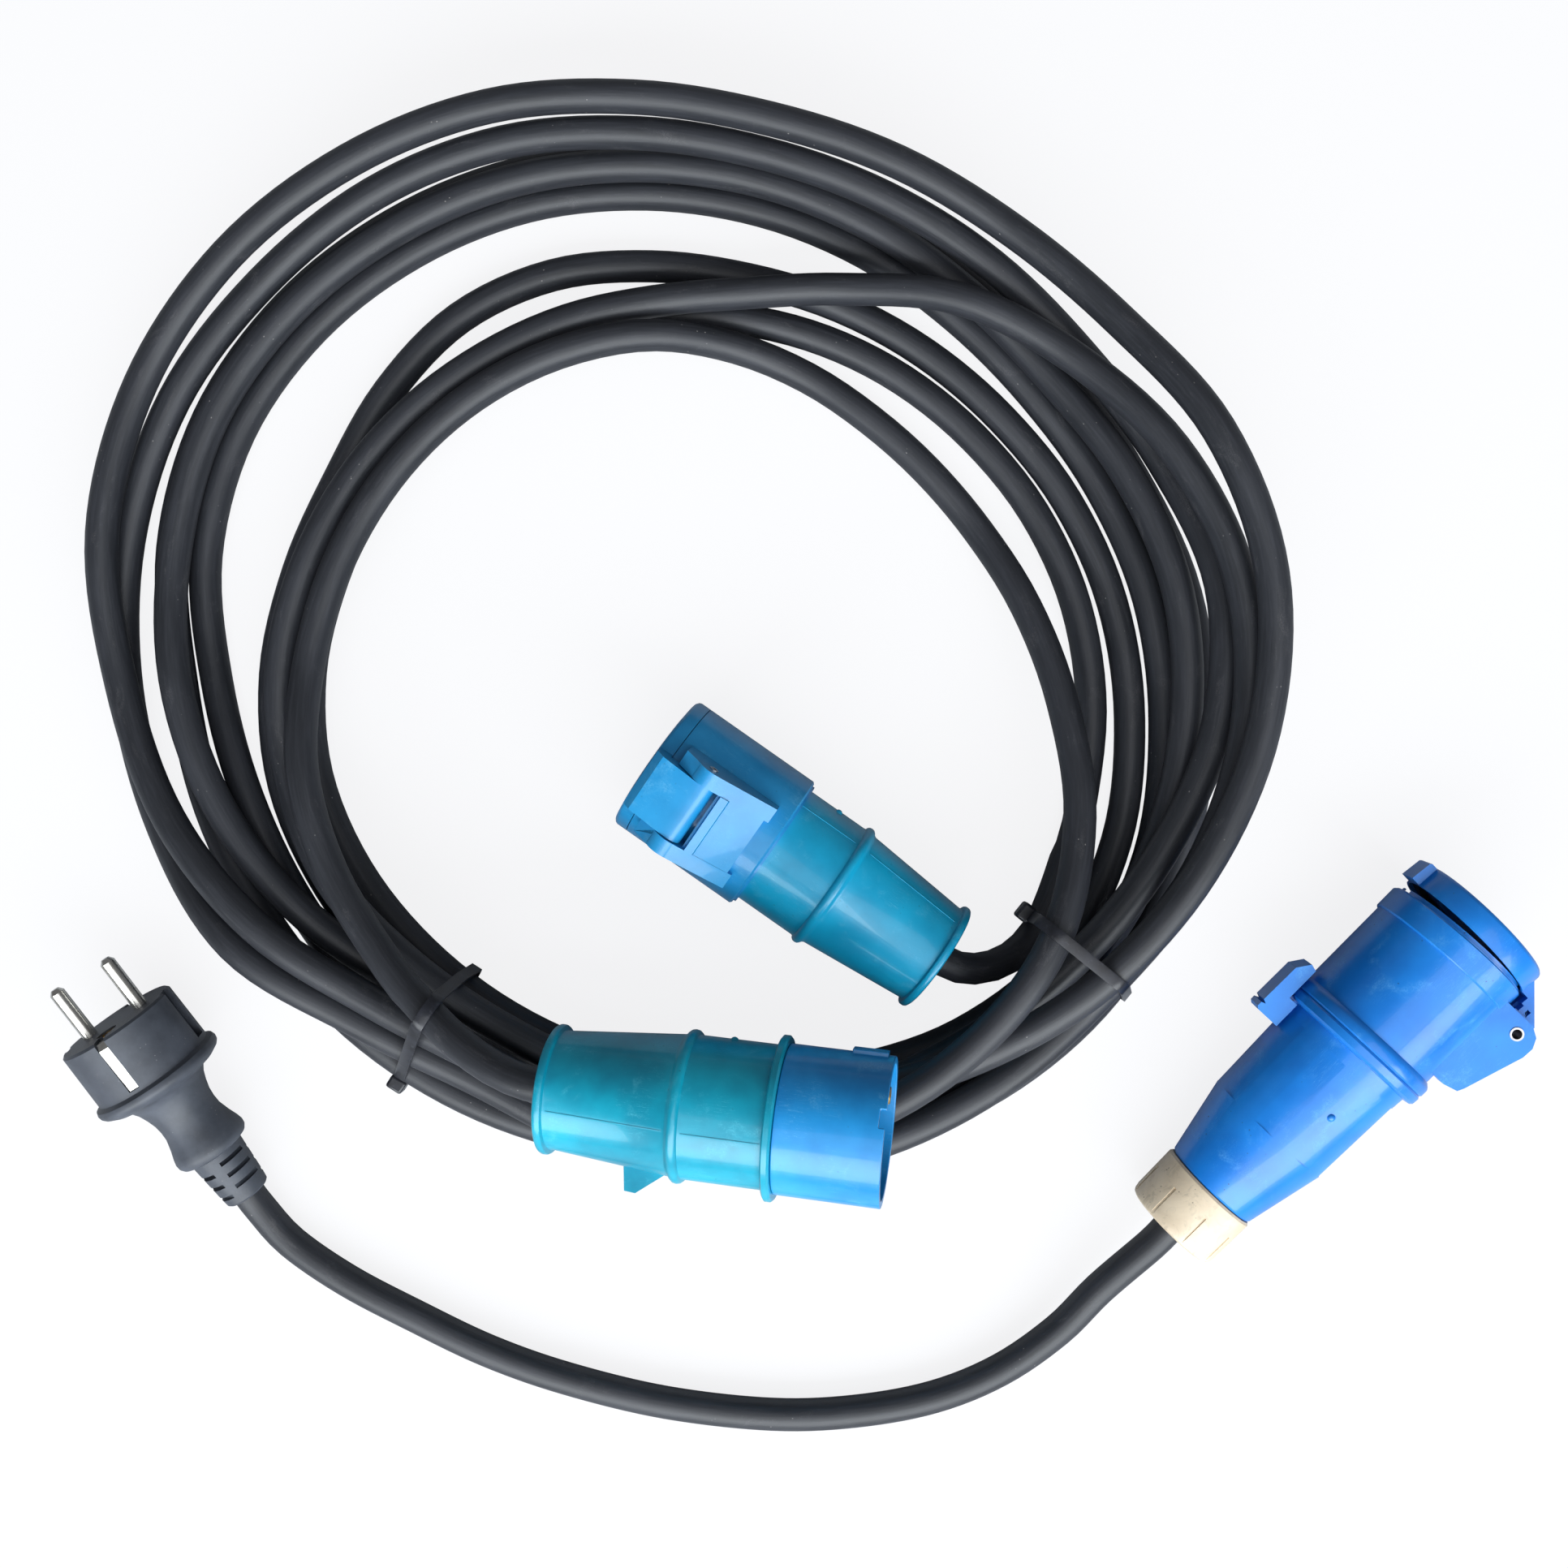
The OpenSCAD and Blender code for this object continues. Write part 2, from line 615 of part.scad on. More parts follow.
module adapter_rear_housing() {
  color(blue) at_head(adapter_at) {
    difference() {
      union() {
        turned([[8, 9.7], [8, 13.2], [19.3, 13.2], [19.3, 15.8], [20, 16.3], [46, 21.5], [78, 22.3],
          [82.4, 22.6], [82.8, 24.8], [83.6, 25.6], [85.9, 25.8], [86.6, 25.3], [86.6, 21.9], [87.9, 21.9],
          [87.9, 20.4], [78, 20.2], [48, 19.2], [26, 14.6], [25, 9.7]]);
      }
      for (k = [0:7]) rotate([45 * k + 22.5, 0, 0]) translate([46, -12, 21.2]) rotate([0, -1.4, 0])
        cube([32, 24, 4]);
      for (k = [0:11]) rotate([30 * k, 0, 0]) translate([8, -0.6, 12.4]) cube([9, 1.2, 2]);
    }
    difference() {
      plate(-2, 2, [[77.4, -20.8], [83, -20.8], [83, -27], [81.4, -28], [79, -28], [77.4, -27]]);
      translate([80.2, 5, -25.4]) rotate([90, 0, 0]) cylinder(h = 10, r = 1.26);
    }
    translate([63, 21.2, 3.6]) sphere(r = 1.4, $fn = 24);
  }
}

module adapter_latch() {
  color(blue) at_head(adapter_at) {
    difference() {
      plate(-5, 5, [[72.4, -23.2], [81.9, -23.2], [81.9, -26.6], [93.9, -26.6], [94.6, -29], [90.4, -32],
        [76, -32.2], [75.4, -30.8], [74.8, -32.2], [73.2, -32.2], [72.4, -31.2]]);
      bar(60, 90, 23.7);
      plate(-2.3, 2.3, [[76.6, -20], [84, -20], [84, -28.9], [76.6, -28.9]]);
    }
    translate([80.2, 4.9, -25.4]) rotate([90, 0, 0]) cylinder(h = 9.8, r = 1.2);
  }
}

module adapter_front_body() {
  color(blue) at_head(adapter_at) {
    front_sleeve(86.7, 87.9, adapter_mouth, bore_r);
    turned([[86.7, 22.5], [86.7, 25.4], [87.2, 25.8], [89.8, 25.8], [90.6, 25.3], [91.5, 24.4], [91.9, 23.5],
      [91.9, 22.5]]);
    difference() {
      turned([[123.2, 23.5], [123.5, 24.5], [123.9, 24.8], [131.2, 24.8], [131.6, 24.4], [131.6, 23.5]]);
      translate([119, -ear_in - 0.1, 15]) cube([14, 2 * ear_in + 0.2, 12]);
    }
    ears(adapter_hinge_x, [[95, 15], [94.6, 23.6], [95.9, 28.2], [98, 29.2], [117.4, 35.2], [121.4, 35.4],
      [124.6, 33.8], [126.6, 30.4], [126.9, 15]], 5, adapter_pin_r);
    bridge([[98, 19], [98, 25.2], [108, 26.6], [115.2, 28.4], [115.2, 19]]);
  }
}

module adapter_lid() {
  color(blue) at_head(adapter_at) swing(adapter_hinge_x, adapter_open) {
    difference() {
      lid_shape(adapter_mouth, adapter_hinge_x, 3.2, [[6.6, 18], [5.4, 21.8], [-4.6, 33.2]], adapter_pin_r);
      for (s = [0, 1]) mirror([0, s, 0]) {
        translate([adapter_mouth - 4.6, 6.6, 22.6]) cube([2.4, 5, 3]);
        translate([adapter_mouth - 4.4, 6.6, 27.4]) cube([2.2, 5, 1.4]);
      }
    }
    plate(-5, 5, [[adapter_mouth + 0.4, -23.4], [adapter_mouth + 8, -23.4], [adapter_mouth + 8, -25.6],
      [adapter_mouth + 7.4, -26.2], [adapter_mouth + 0.4, -26.6]]);
  }
}

module adapter_lid_gasket() {
  color(black) at_head(adapter_at) swing(adapter_hinge_x, adapter_open) lid_gasket(adapter_mouth);
}

module adapter_hinge_pin() {
  color(steel) at_head(adapter_at) hinge_rod(adapter_hinge_x, adapter_pin_r, 1.6);
}

module adapter_lid_spring() {
  color(steel) at_head(adapter_at) lid_spring(adapter_hinge_x, 2.8);
}

module adapter_contact_carrier() {
  color(black) at_head(adapter_at) contact_block(adapter_shift);
}

module adapter_terminal_base() {
  color(black) at_head(adapter_at) terminal_base(adapter_shift, 62.95);
}

module adapter_live_contact() {
  color(brass) at_head(adapter_at) contact_tube(30, pin_d, adapter_shift);
}

module adapter_neutral_contact() {
  color(brass) at_head(adapter_at) contact_tube(150, pin_d, adapter_shift);
}

module adapter_earth_contact() {
  color(brass) at_head(adapter_at) contact_tube(-90, earth_d, adapter_shift);
}

module adapter_terminal_screws() {
  color(steel) at_head(adapter_at) terminal_screw_set(stem_x + 5 + adapter_shift);
}

module adapter_core_wires() {
  color([0.45, 0.30, 0.18]) at_head(adapter_at) cores(adapter_core_x + 0.05, stem_x + adapter_shift);
}

// ---- mains plug: its face is at x = 0, its pins point along +X ----
relief_end = -73;
face_r = face_d / 2;
module mains_pin_hole(x0, x1) {
  bar(x0, x1, mains_pin_d / 2 - pin_neck + 0.02);
}

module mains_plug_body() {
  color(black) at_head(mains_at) difference() {
    turned([[0, 0], [0, face_r - 0.8], [-0.8, face_r], [-20.4, face_r + 0.3], [-20.8, 21], [-22.4, 21.6],
      [-24, 21.2], [-26, 18.4], [-27.4, 13.6], [-30, 12.2], [-36, 10.2], [-41, 9.9], [-46, 11],
      [-50, 12.2], [-52.5, 12.4], [-54.2, 11], [-54.6, 8.8], [-70, 7.8], [relief_end, 7.2],
      [relief_end, cable_r + 0.05], [-56, cable_r + 0.05], [-56, 6.6], [-40, 6.6], [-24, 13.8],
      [-19, 13.8], [-19, 0]]);
    for (s = [-0.5, 0.5]) translate([0, s * mains_pin_gap, 0]) mains_pin_hole(-20, 1);
    for (s = [-1, 1]) translate([-18.5, s * (face_r + 0.6) - 2.6, -2.7]) cube([20, 5.2, 5.4]);
    for (s = [0, 1]) mirror([0, 0, s]) {
      translate([-19, -1.75, face_r - 1.3]) cube([20, 3.5, 4]);
      translate([-1.6, -1.75, 13.4]) cube([4, 3.5, 8]);
    }
    translate([0, 0, 10]) bar(-20, 1, 3.42);
    for (k = [0:2], s = [0, 1]) rotate([s * 90 + 45, 0, 0]) {
      translate([-58.4 - 4.6 * k - 2.3 * s, -4.6, 6.3]) cube([1.5, 9.2, 5]);
      translate([-58.4 - 4.6 * k - 2.3 * s, -4.6, -11.3]) cube([1.5, 9.2, 5]);
    }
  }
}

module mains_plug_pin_bridge() {
  color(cream) at_head(mains_at) difference() {
    bar(-23, -19.05, 13.4);
    for (s = [-0.5, 0.5]) translate([0, s * mains_pin_gap, 0]) mains_pin_hole(-24, -18);
    translate([0, 0, 10]) bar(-24, -18, 3.45);
    for (s = [0, 1]) mirror([0, 0, s]) translate([-24, -1.8, 11.2]) cube([6, 3.6, 4]);
  }
}

module mains_pin(y) {
  translate([0, y, 0]) difference() {
    union() {
      bar(-27, 0, mains_pin_d / 2 - pin_neck);
      bar(0, 17.6, mains_pin_d / 2);
      bar(17.6, 19, mains_pin_d / 2, mains_pin_d / 2 - 1.1);
    }
    bar(-28, -23.5, 1.3);
  }
}

module mains_plug_live_pin() {
  color(steel) at_head(mains_at) mains_pin(-mains_pin_gap / 2);
}

module mains_plug_neutral_pin() {
  color(steel) at_head(mains_at) mains_pin(mains_pin_gap / 2);
}

// the two spring strips of the earth contact, one along the top of the skirt and one below
module mains_plug_earth_clips() {
  color(steel) at_head(mains_at) for (s = [0, 1]) mirror([0, 0, s])
    plate(-1.6, 1.6, [[-18.8, face_r - 1.2], [-18.8, face_r - 0.4], [-3, face_r - 0.1], [-0.9, face_r - 1.2],
      [-0.9, 14], [-1.5, 14], [-1.5, face_r - 1.2]]);
}

module mains_plug_earth_socket() {
  color(brass) at_head(mains_at) translate([0, 0, 10]) difference() {
    bar(-24.5, -0.6, 3.4);
    bar(-19, 0, 2.5);
  }
}

module mains_plug_core_wires() {
  color([0.45, 0.30, 0.18]) at_head(mains_at) {
    bar(mains_core_x, -51, cable_r - 0.3);
    for (t = [[-9.5, 0, -26.9], [9.5, 0, -26.9], [0, 10, -24.6]])
      tube([[-53, t[0] * 0.22, t[1] * 0.22], [-47, t[0] * 0.24, t[1] * 0.24], [-41, t[0] * 0.3, t[1] * 0.3],
        [-32, t[0] * 0.8, t[1] * 0.8], [t[2], t[0], t[1]]], 1.2, 8);
  }
}

// ---- adapter cable on the floor ----
adapter_route = [[-166.8, -155.3, 5.25], [-148, -168.2, 5.25], [-125.5, -180, 5.25], [-100, -192.2, 5.25],
  [-73.2, -201.6, 5.25], [-40, -209.6, 5.25], [-4.4, -213.6, 5.25], [24, -212.6, 5.25], [50.6, -207.6, 5.6],
  [73, -197.8, 7.2], [91.9, -183.5, 9.8], [105.5, -168.5, 12.6]];
mains_end = head_point(mains_at, [relief_end, 0, 0]) - table;
mains_axis = head_point(mains_at, [1, 0, 0]) - head_point(mains_at, [0, 0, 0]);
nut_axis = head_point(adapter_at, [1, 0, 0]) - head_point(adapter_at, [0, 0, 0]);
nut_in = head_point(adapter_at, [0, 0, 0]) - table;
adapter_path = concat([mains_end + (mains_core_x - relief_end - 0.05) * mains_axis, mains_end,
  mains_end - 7 * mains_axis], adapter_route,
  [nut_in - 9 * nut_axis, nut_in, nut_in + adapter_core_x * nut_axis]);
module adapter_cable() {
  color(black) translate(table) tube(adapter_path, cable_r, 12, 0, -1 * mains_axis, nut_axis);
}

measure();
echo(adapter_metres = path_length(adapter_path) / 1000);

extension_cable();
left_cable_tie();
right_cable_tie();
plug_rear_housing();
plug_front_body();
plug_pin_carrier();
plug_live_pin();
plug_neutral_pin();
plug_earth_pin();
plug_terminal_screws();
plug_cable_clamp();
plug_clamp_screws();
plug_cable_seal();
plug_core_wires();
socket_rear_housing();
socket_front_body();
socket_lid();
socket_lid_gasket();
socket_hinge_pin();
socket_lid_spring();
socket_contact_carrier();
socket_terminal_base();
socket_live_contact();
socket_neutral_contact();
socket_earth_contact();
socket_terminal_screws();
socket_cable_clamp();
socket_clamp_screws();
socket_cable_seal();
socket_core_wires();
adapter_gland_nut();
adapter_gland_sleeve();
adapter_rear_housing();
adapter_latch();
adapter_front_body();
adapter_lid();
adapter_lid_gasket();
adapter_hinge_pin();
adapter_lid_spring();
adapter_contact_carrier();
adapter_terminal_base();
adapter_live_contact();
adapter_neutral_contact();
adapter_earth_contact();
adapter_terminal_screws();
adapter_core_wires();
mains_plug_body();
mains_plug_pin_bridge();
mains_plug_live_pin();
mains_plug_neutral_pin();
mains_plug_earth_clips();
mains_plug_earth_socket();
mains_plug_core_wires();
adapter_cable();
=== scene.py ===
"""Looks of a shore power cord: a coiled extension lead and a short mains adapter lead."""

import math

import bmesh
import bpy
from mathutils import Matrix, Vector


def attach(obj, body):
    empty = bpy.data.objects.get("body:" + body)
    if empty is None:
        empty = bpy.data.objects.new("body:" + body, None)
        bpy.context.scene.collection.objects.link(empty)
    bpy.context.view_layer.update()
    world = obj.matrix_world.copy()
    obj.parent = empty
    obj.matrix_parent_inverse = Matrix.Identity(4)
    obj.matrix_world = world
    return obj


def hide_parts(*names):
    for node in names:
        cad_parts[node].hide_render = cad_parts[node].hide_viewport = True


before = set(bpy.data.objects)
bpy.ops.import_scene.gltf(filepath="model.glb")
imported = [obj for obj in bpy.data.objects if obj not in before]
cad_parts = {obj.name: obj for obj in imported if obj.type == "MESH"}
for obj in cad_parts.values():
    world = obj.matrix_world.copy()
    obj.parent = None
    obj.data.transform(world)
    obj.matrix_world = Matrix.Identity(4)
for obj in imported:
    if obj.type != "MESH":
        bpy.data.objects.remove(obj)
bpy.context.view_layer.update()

MM = 0.001
TABLE = Vector((-3.2, 64.6, 0.0))  # what moves the work table's middle into the frame
LEADS = "leads"


# ---- finishes ----
def shade(red, green, blue):
    """A colour as a screen shows it, 0 to 255, in the linear values that shaders take."""

    def linear(c):
        c /= 255
        return c / 12.92 if c <= 0.04045 else ((c + 0.055) / 1.055) ** 2.4

    return (linear(red), linear(green), linear(blue), 1.0)


class Signal:
    """An output of a node. Arithmetic on it adds Math nodes."""

    def __init__(self, finish, socket):
        self.finish, self.socket = finish, socket

    def maths(self, operation, first, second=0.0, clamp=False):
        settings = {"operation": operation, "use_clamp": clamp}
        return self.finish.node("Math", settings, {0: first, 1: second})

    def __add__(self, other):
        return self.maths("ADD", self, other)

    def __sub__(self, other):
        return self.maths("SUBTRACT", self, other)

    def __rsub__(self, other):
        return self.maths("SUBTRACT", other, self)

    def __mul__(self, other):
        return self.maths("MULTIPLY", self, other)

    def __abs__(self):
        return self.maths("ABSOLUTE", self)

    __radd__, __rmul__ = __add__, __mul__

    def held(self):
        """The value kept between 0 and 1."""
        return self.maths("ADD", self, 0.0, clamp=True)

    def rise(self, low, high):
        """0 below low, 1 above high and straight between them."""
        settings = {"clamp": True}
        inputs = {"Value": self, "From Min": low, "From Max": high}
        return self.finish.node("MapRange", settings, inputs)


class Finish:
    """A material, the nodes that make it, and the record's slot that it stands for."""

    def __init__(self, name, slot):
        self.slot = slot
        self.material = bpy.data.materials.new(name)
        self.material.use_nodes = True
        self.tree = self.material.node_tree
        self.tree.nodes.clear()

    def node(self, kind, settings=None, inputs=None, out=0):
        made = self.tree.nodes.new("ShaderNode" + kind)
        for key, value in (settings or {}).items():
            setattr(made, key, value)
        for key, value in (inputs or {}).items():
            socket = made.inputs[key]
            if isinstance(value, Signal):
                self.tree.links.new(value.socket, socket)
            else:
                socket.default_value = value
        return Signal(self, made.outputs[out])

    def on_head(self, head):
        """Coordinates in a head's own frame, in millimetres, x along its axis from the rear."""
        place = head.matrix
        settings = {"vector_type": "TEXTURE"}
        inputs = {
            "Vector": self.node("TexCoord", out="Object"),
            "Location": place.to_translation(),
            "Rotation": place.to_euler(),
            "Scale": (MM, MM, MM),
        }
        return self.node("Mapping", settings, inputs)

    def on_frame(self):
        """Coordinates in the frame itself, in millimetres."""
        return self.stretch(self.node("TexCoord", out="Object"), 1 / MM, 1 / MM, 1 / MM)

    def stretch(self, where, x, y, z):
        settings = {"operation": "MULTIPLY"}
        return self.node("VectorMath", settings, {0: where, 1: (x, y, z)})

    def noise(self, where, scale, detail=3.0, rough=0.5, warp=0.0):
        inputs = {"Vector": where, "Scale": scale, "Detail": detail, "Roughness": rough}
        return self.node("TexNoise", None, {**inputs, "Distortion": warp})

    def cells(self, where, scale):
        """Distance to the nearest of a field of random dots."""
        return self.node("TexVoronoi", None, {"Vector": where, "Scale": scale})

    def mix(self, factor, first, second):
        settings = {"data_type": "RGBA", "blend_type": "MIX"}
        return self.node("Mix", settings, {0: factor, 6: first, 7: second}, out=2)

    def bump(self, height, distance, strength):
        return self.node("Bump", None, {"Height": height, "Distance": distance, "Strength": strength})

    def done(self, **sockets):
        """Ends the material in one shader; names with _ stand for names with spaces."""
        inputs = {key.replace("_", " "): value for key, value in sockets.items()}
        shader = self.node("BsdfPrincipled", None, inputs)
        self.node_output(shader)
        return self

    def node_output(self, shader):
        made = self.tree.nodes.new("ShaderNodeOutputMaterial")
        self.tree.links.new(shader.socket, made.inputs["Surface"])


def moulded(name, slot, head, deep, plain, pale, gloss=0.3, grime=0.35):
    """Moulded housing plastic: faint clouding, rubbed patches, hairline scratches and dirt specks."""
    f = Finish(name, slot)
    at = f.on_head(head)
    cloud = f.noise(at, 0.045, 4.0, 0.55)
    colour = f.mix(cloud.rise(0.32, 0.72), deep, plain)
    # pale rubbed patches broken up by a fine grain
    grain = f.noise(at, 1.9, 5.0, 0.7)
    rubbed = (f.noise(at, 0.11, 3.0, 0.6, 0.6).rise(0.57, 0.72) * grain.rise(0.4, 0.62)).held()
    colour = f.mix(rubbed * 0.34, colour, pale)
    # hairline scratches, mostly along the axis
    hair = f.noise(f.stretch(at, 0.12, 1.9, 1.9), 1.0, 2.0, 0.5, 0.8)
    near = f.noise(at, 0.07, 2.0)
    scratch = (1.0 - abs(hair - 0.5).rise(0.0, 0.011)) * near.rise(0.5, 0.62)
    colour = f.mix(scratch.held() * 0.4, colour, pale)
    # dirt specks that gather in patches
    dots = 1.0 - f.cells(at, 0.42).rise(0.07, 0.15)
    dirt = (dots * f.noise(at, 0.09, 2.0).rise(0.56, 0.66)).held()
    colour = f.mix(dirt * grime, colour, shade(32, 36, 48))
    rough = gloss + rubbed * 0.18 + scratch * 0.1 + dirt * 0.25 + grain * 0.04
    peel = f.noise(at, 0.9, 2.0)
    normal = f.bump(peel * 0.6 + grain * 0.2 - scratch * 0.3, 0.05 * MM, 0.45)
    return f.done(Base_Color=colour, Roughness=rough.held(), Coat_Weight=0.25, Normal=normal)


def dirty_cream(name, slot, head):
    """Aged cream plastic with grey-brown soiling and dark nicks."""
    f = Finish(name, slot)
    at = f.on_head(head)
    cloud = f.noise(at, 0.07, 5.0, 0.62, 0.5)
    colour = f.mix(cloud.rise(0.36, 0.7), shade(214, 196, 170), shade(238, 222, 196))
    soil = f.noise(at, 0.16, 6.0, 0.68, 1.2).rise(0.53, 0.75)
    colour = f.mix(soil * 0.55, colour, shade(142, 130, 110))
    dots = 1.0 - f.cells(at, 0.5).rise(0.06, 0.16)
    nicks = (dots * f.noise(at, 0.15, 2.0).rise(0.5, 0.6)).held()
    colour = f.mix(nicks * 0.75, colour, shade(86, 74, 60))
    grain = f.noise(at, 2.4, 4.0, 0.65)
    rough = 0.42 + soil * 0.2 + nicks * 0.2
    normal = f.bump(grain * 0.5 - nicks * 0.6, 0.07 * MM, 0.5)
    return f.done(Base_Color=colour, Roughness=rough.held(), Normal=normal)


def moulded_rubber(name, slot, head):
    """Matt charcoal rubber with a fine skin, worn shiny in places, and a little dust."""
    f = Finish(name, slot)
    at = f.on_head(head)
    cloud = f.noise(at, 0.09, 4.0, 0.6)
    colour = f.mix(cloud.rise(0.3, 0.72), shade(58, 62, 70), shade(82, 87, 97))
    grain = f.noise(at, 3.2, 4.0, 0.7)
    dust = (f.noise(at, 0.23, 5.0, 0.72, 0.5).rise(0.6, 0.78) * grain.rise(0.42, 0.66)).held()
    colour = f.mix(dust * 0.5, colour, shade(122, 120, 122))
    dots = 1.0 - f.cells(at, 0.6).rise(0.05, 0.12)
    chips = (dots * f.noise(at, 0.2, 2.0).rise(0.56, 0.62)).held()
    colour = f.mix(chips * 0.6, colour, shade(150, 148, 150))
    rough = 0.42 + cloud * 0.14 + dust * 0.2
    normal = f.bump(grain * 0.8 + cloud * 0.4, 0.06 * MM, 0.6)
    return f.done(Base_Color=colour, Roughness=rough.held(), Normal=normal)


def sheath(name, slot):
    """Rubber cable jacket on the run attribute: distance along in x, round section in y and z."""
    f = Finish(name, slot)
    run = f.node("Attribute", {"attribute_name": "run"}, out="Vector")
    long = f.stretch(run, 0.05, 1.0, 1.0)
    cloud = f.noise(f.stretch(run, 0.16, 1.0, 1.0), 0.12, 4.0, 0.6)
    colour = f.mix(cloud.rise(0.3, 0.75), shade(36, 38, 43), shade(52, 54, 60))
    # drawn lines left by the extruder, lightened also as a painted highlight along the jacket, and greyed
    # rubbed stretches
    drawn = f.noise(long, 1.3, 4.0, 0.65)
    colour = f.mix(drawn.rise(0.45, 0.75) * 0.3, colour, shade(74, 76, 84))
    grain = f.noise(run, 2.6, 5.0, 0.7)
    rubbed = f.noise(f.stretch(run, 0.35, 1.0, 1.0), 0.16, 5.0, 0.7, 0.6).rise(0.58, 0.78)
    dust = (rubbed * grain.rise(0.42, 0.66)).held()
    colour = f.mix(dust * 0.5, colour, shade(124, 122, 124))
    # small pale nicks and scrapes across the jacket
    dots = 1.0 - f.cells(f.stretch(run, 0.7, 1.0, 1.0), 0.42).rise(0.04, 0.1)
    nicks = (dots * f.noise(run, 0.06, 2.0).rise(0.56, 0.64)).held()
    colour = f.mix(nicks * 0.55, colour, shade(164, 160, 158))
    rough = 0.36 + cloud * 0.12 + dust * 0.22 + drawn * 0.06
    normal = f.bump(drawn * 0.7 + grain * 0.4 - nicks * 0.5, 0.08 * MM, 0.55)
    return f.done(Base_Color=colour, Roughness=rough.held(), Normal=normal)


def nylon(name, slot):
    """Black strap nylon with a soft gloss and a fine moulded skin."""
    f = Finish(name, slot)
    at = f.on_frame()
    cloud = f.noise(at, 0.2, 3.0)
    colour = f.mix(cloud.rise(0.3, 0.7), shade(24, 25, 30), shade(44, 46, 54))
    skin = f.noise(at, 2.2, 3.0)
    rubbed = f.noise(at, 0.5, 4.0, 0.7).rise(0.58, 0.75)
    colour = f.mix(rubbed * 0.3, colour, shade(104, 106, 116))
    normal = f.bump(skin, 0.04 * MM, 0.4)
    rough = 0.26 + cloud * 0.1 + rubbed * 0.15
    return f.done(Base_Color=colour, Roughness=rough.held(), Normal=normal)


def plated(name, slot, plain, tarnish, gloss, brushed=0.0):
    """Bare or plated metal with faint tarnish and dark specks; brushed deepens its fine grain."""
    f = Finish(name, slot)
    at = f.on_frame()
    cloud = f.noise(at, 0.22, 5.0, 0.65, 0.8)
    colour = f.mix(cloud.rise(0.45, 0.8), plain, tarnish)
    fine = f.noise(at, 5.0, 3.0)
    specks = (1.0 - f.cells(at, 0.9).rise(0.06, 0.13)) * f.noise(at, 0.4, 2.0).rise(0.55, 0.62)
    colour = f.mix(specks.held() * 0.5, colour, shade(70, 62, 54))
    rough = gloss + cloud * 0.16 + specks * 0.2
    normal = f.bump(fine, 0.03 * MM, 0.25 + brushed)
    return f.done(Base_Color=colour, Roughness=rough.held(), Metallic=1.0, Normal=normal)


def matt_plastic(name, slot, plain, deep, gloss=0.45):
    """Carrier and seal plastics inside the heads: a speckled, slightly dusty moulding."""
    f = Finish(name, slot)
    at = f.on_frame()
    cloud = f.noise(at, 0.15, 4.0, 0.6)
    colour = f.mix(cloud.rise(0.3, 0.75), deep, plain)
    grain = f.noise(at, 2.8, 4.0, 0.7)
    colour = f.mix(grain.rise(0.62, 0.8) * 0.25, colour, shade(140, 140, 144))
    normal = f.bump(grain, 0.05 * MM, 0.4)
    return f.done(Base_Color=colour, Roughness=(gloss + grain * 0.12).held(), Normal=normal)


# ---- heads: rear end of each axis on the work table, heading, rise and roll ----
class Head:
    """A plug or connector's own frame: x runs along its axis from the rear, in millimetres."""

    def __init__(self, rear, heading, rise, roll):
        turn = (
            Matrix.Rotation(math.radians(heading), 4, "Z")
            @ Matrix.Rotation(math.radians(-rise), 4, "Y")
            @ Matrix.Rotation(math.radians(roll), 4, "X")
        )
        self.matrix = Matrix.Translation((Vector(rear) + TABLE) * MM) @ turn @ Matrix.Scale(MM, 4)

    def table_point(self, x, y=0.0, z=0.0):
        """A point of the head on the work table, in millimetres."""
        return self.matrix @ Vector((x, y, z)) / MM - TABLE

    def axis(self):
        return (self.table_point(1) - self.table_point(0)).normalized()


PLUG = Head((-69.6, -90.8, 67.7), -5.5, 8.6, 90)
SOCKET = Head((50.3, -57.0, 24.0), 145, 0, -12)
ADAPTER = Head((128.0, -146.6, 16.23), 47.3, 6.1, 90)
MAINS = Head((-217.4, -77.0, 26.4), 121.5, 14, 0)

TEAL = moulded(
    "teal housing", "teal_plastic", PLUG, shade(2, 132, 160), shade(8, 170, 198), shade(110, 222, 244)
)
SHROUD_BLUE = moulded(
    "shroud blue", "faded_blue_plastic", PLUG, shade(12, 126, 196), shade(34, 158, 230), shade(130, 210, 250)
)
SOCKET_TEAL = moulded(
    "sea-worn teal", "teal_plastic", SOCKET, shade(8, 146, 188), shade(20, 174, 218), shade(124, 214, 242)
)
SOCKET_BLUE = moulded(
    "faded blue", "faded_blue_plastic", SOCKET, shade(20, 132, 192), shade(44, 160, 222), shade(130, 210, 244)
)
ADAPTER_BLUE = moulded(
    "bright blue", "blue_plastic", ADAPTER, shade(14, 112, 204), shade(28, 136, 230), shade(110, 196, 250),
    gloss=0.27, grime=0.7,
)
CREAM = dirty_cream("soiled cream", "cream_plastic", ADAPTER)
RUBBER = moulded_rubber("charcoal rubber", "black_rubber", MAINS)
JACKET = sheath("cable jacket", "cable_rubber")
STRAP = nylon("strap nylon", "tie_nylon")
NICKEL = plated("nickel plate", "nickel", shade(232, 230, 224), shade(196, 190, 178), 0.16)
STEEL = plated("hinge steel", "steel", shade(200, 200, 202), shade(150, 148, 146), 0.24, 0.2)
BRASS = plated("contact brass", "brass", shade(226, 190, 112), shade(176, 138, 76), 0.22)
CARRIER = matt_plastic("carrier black", "black_plastic", shade(52, 52, 58), shade(34, 34, 38))
SEAL = matt_plastic("seal rubber", "seal_rubber", shade(40, 40, 44), shade(24, 24, 28), 0.6)
BRIDGE = matt_plastic("bridge white", "bridge_plastic", shade(222, 220, 210), shade(196, 192, 180))
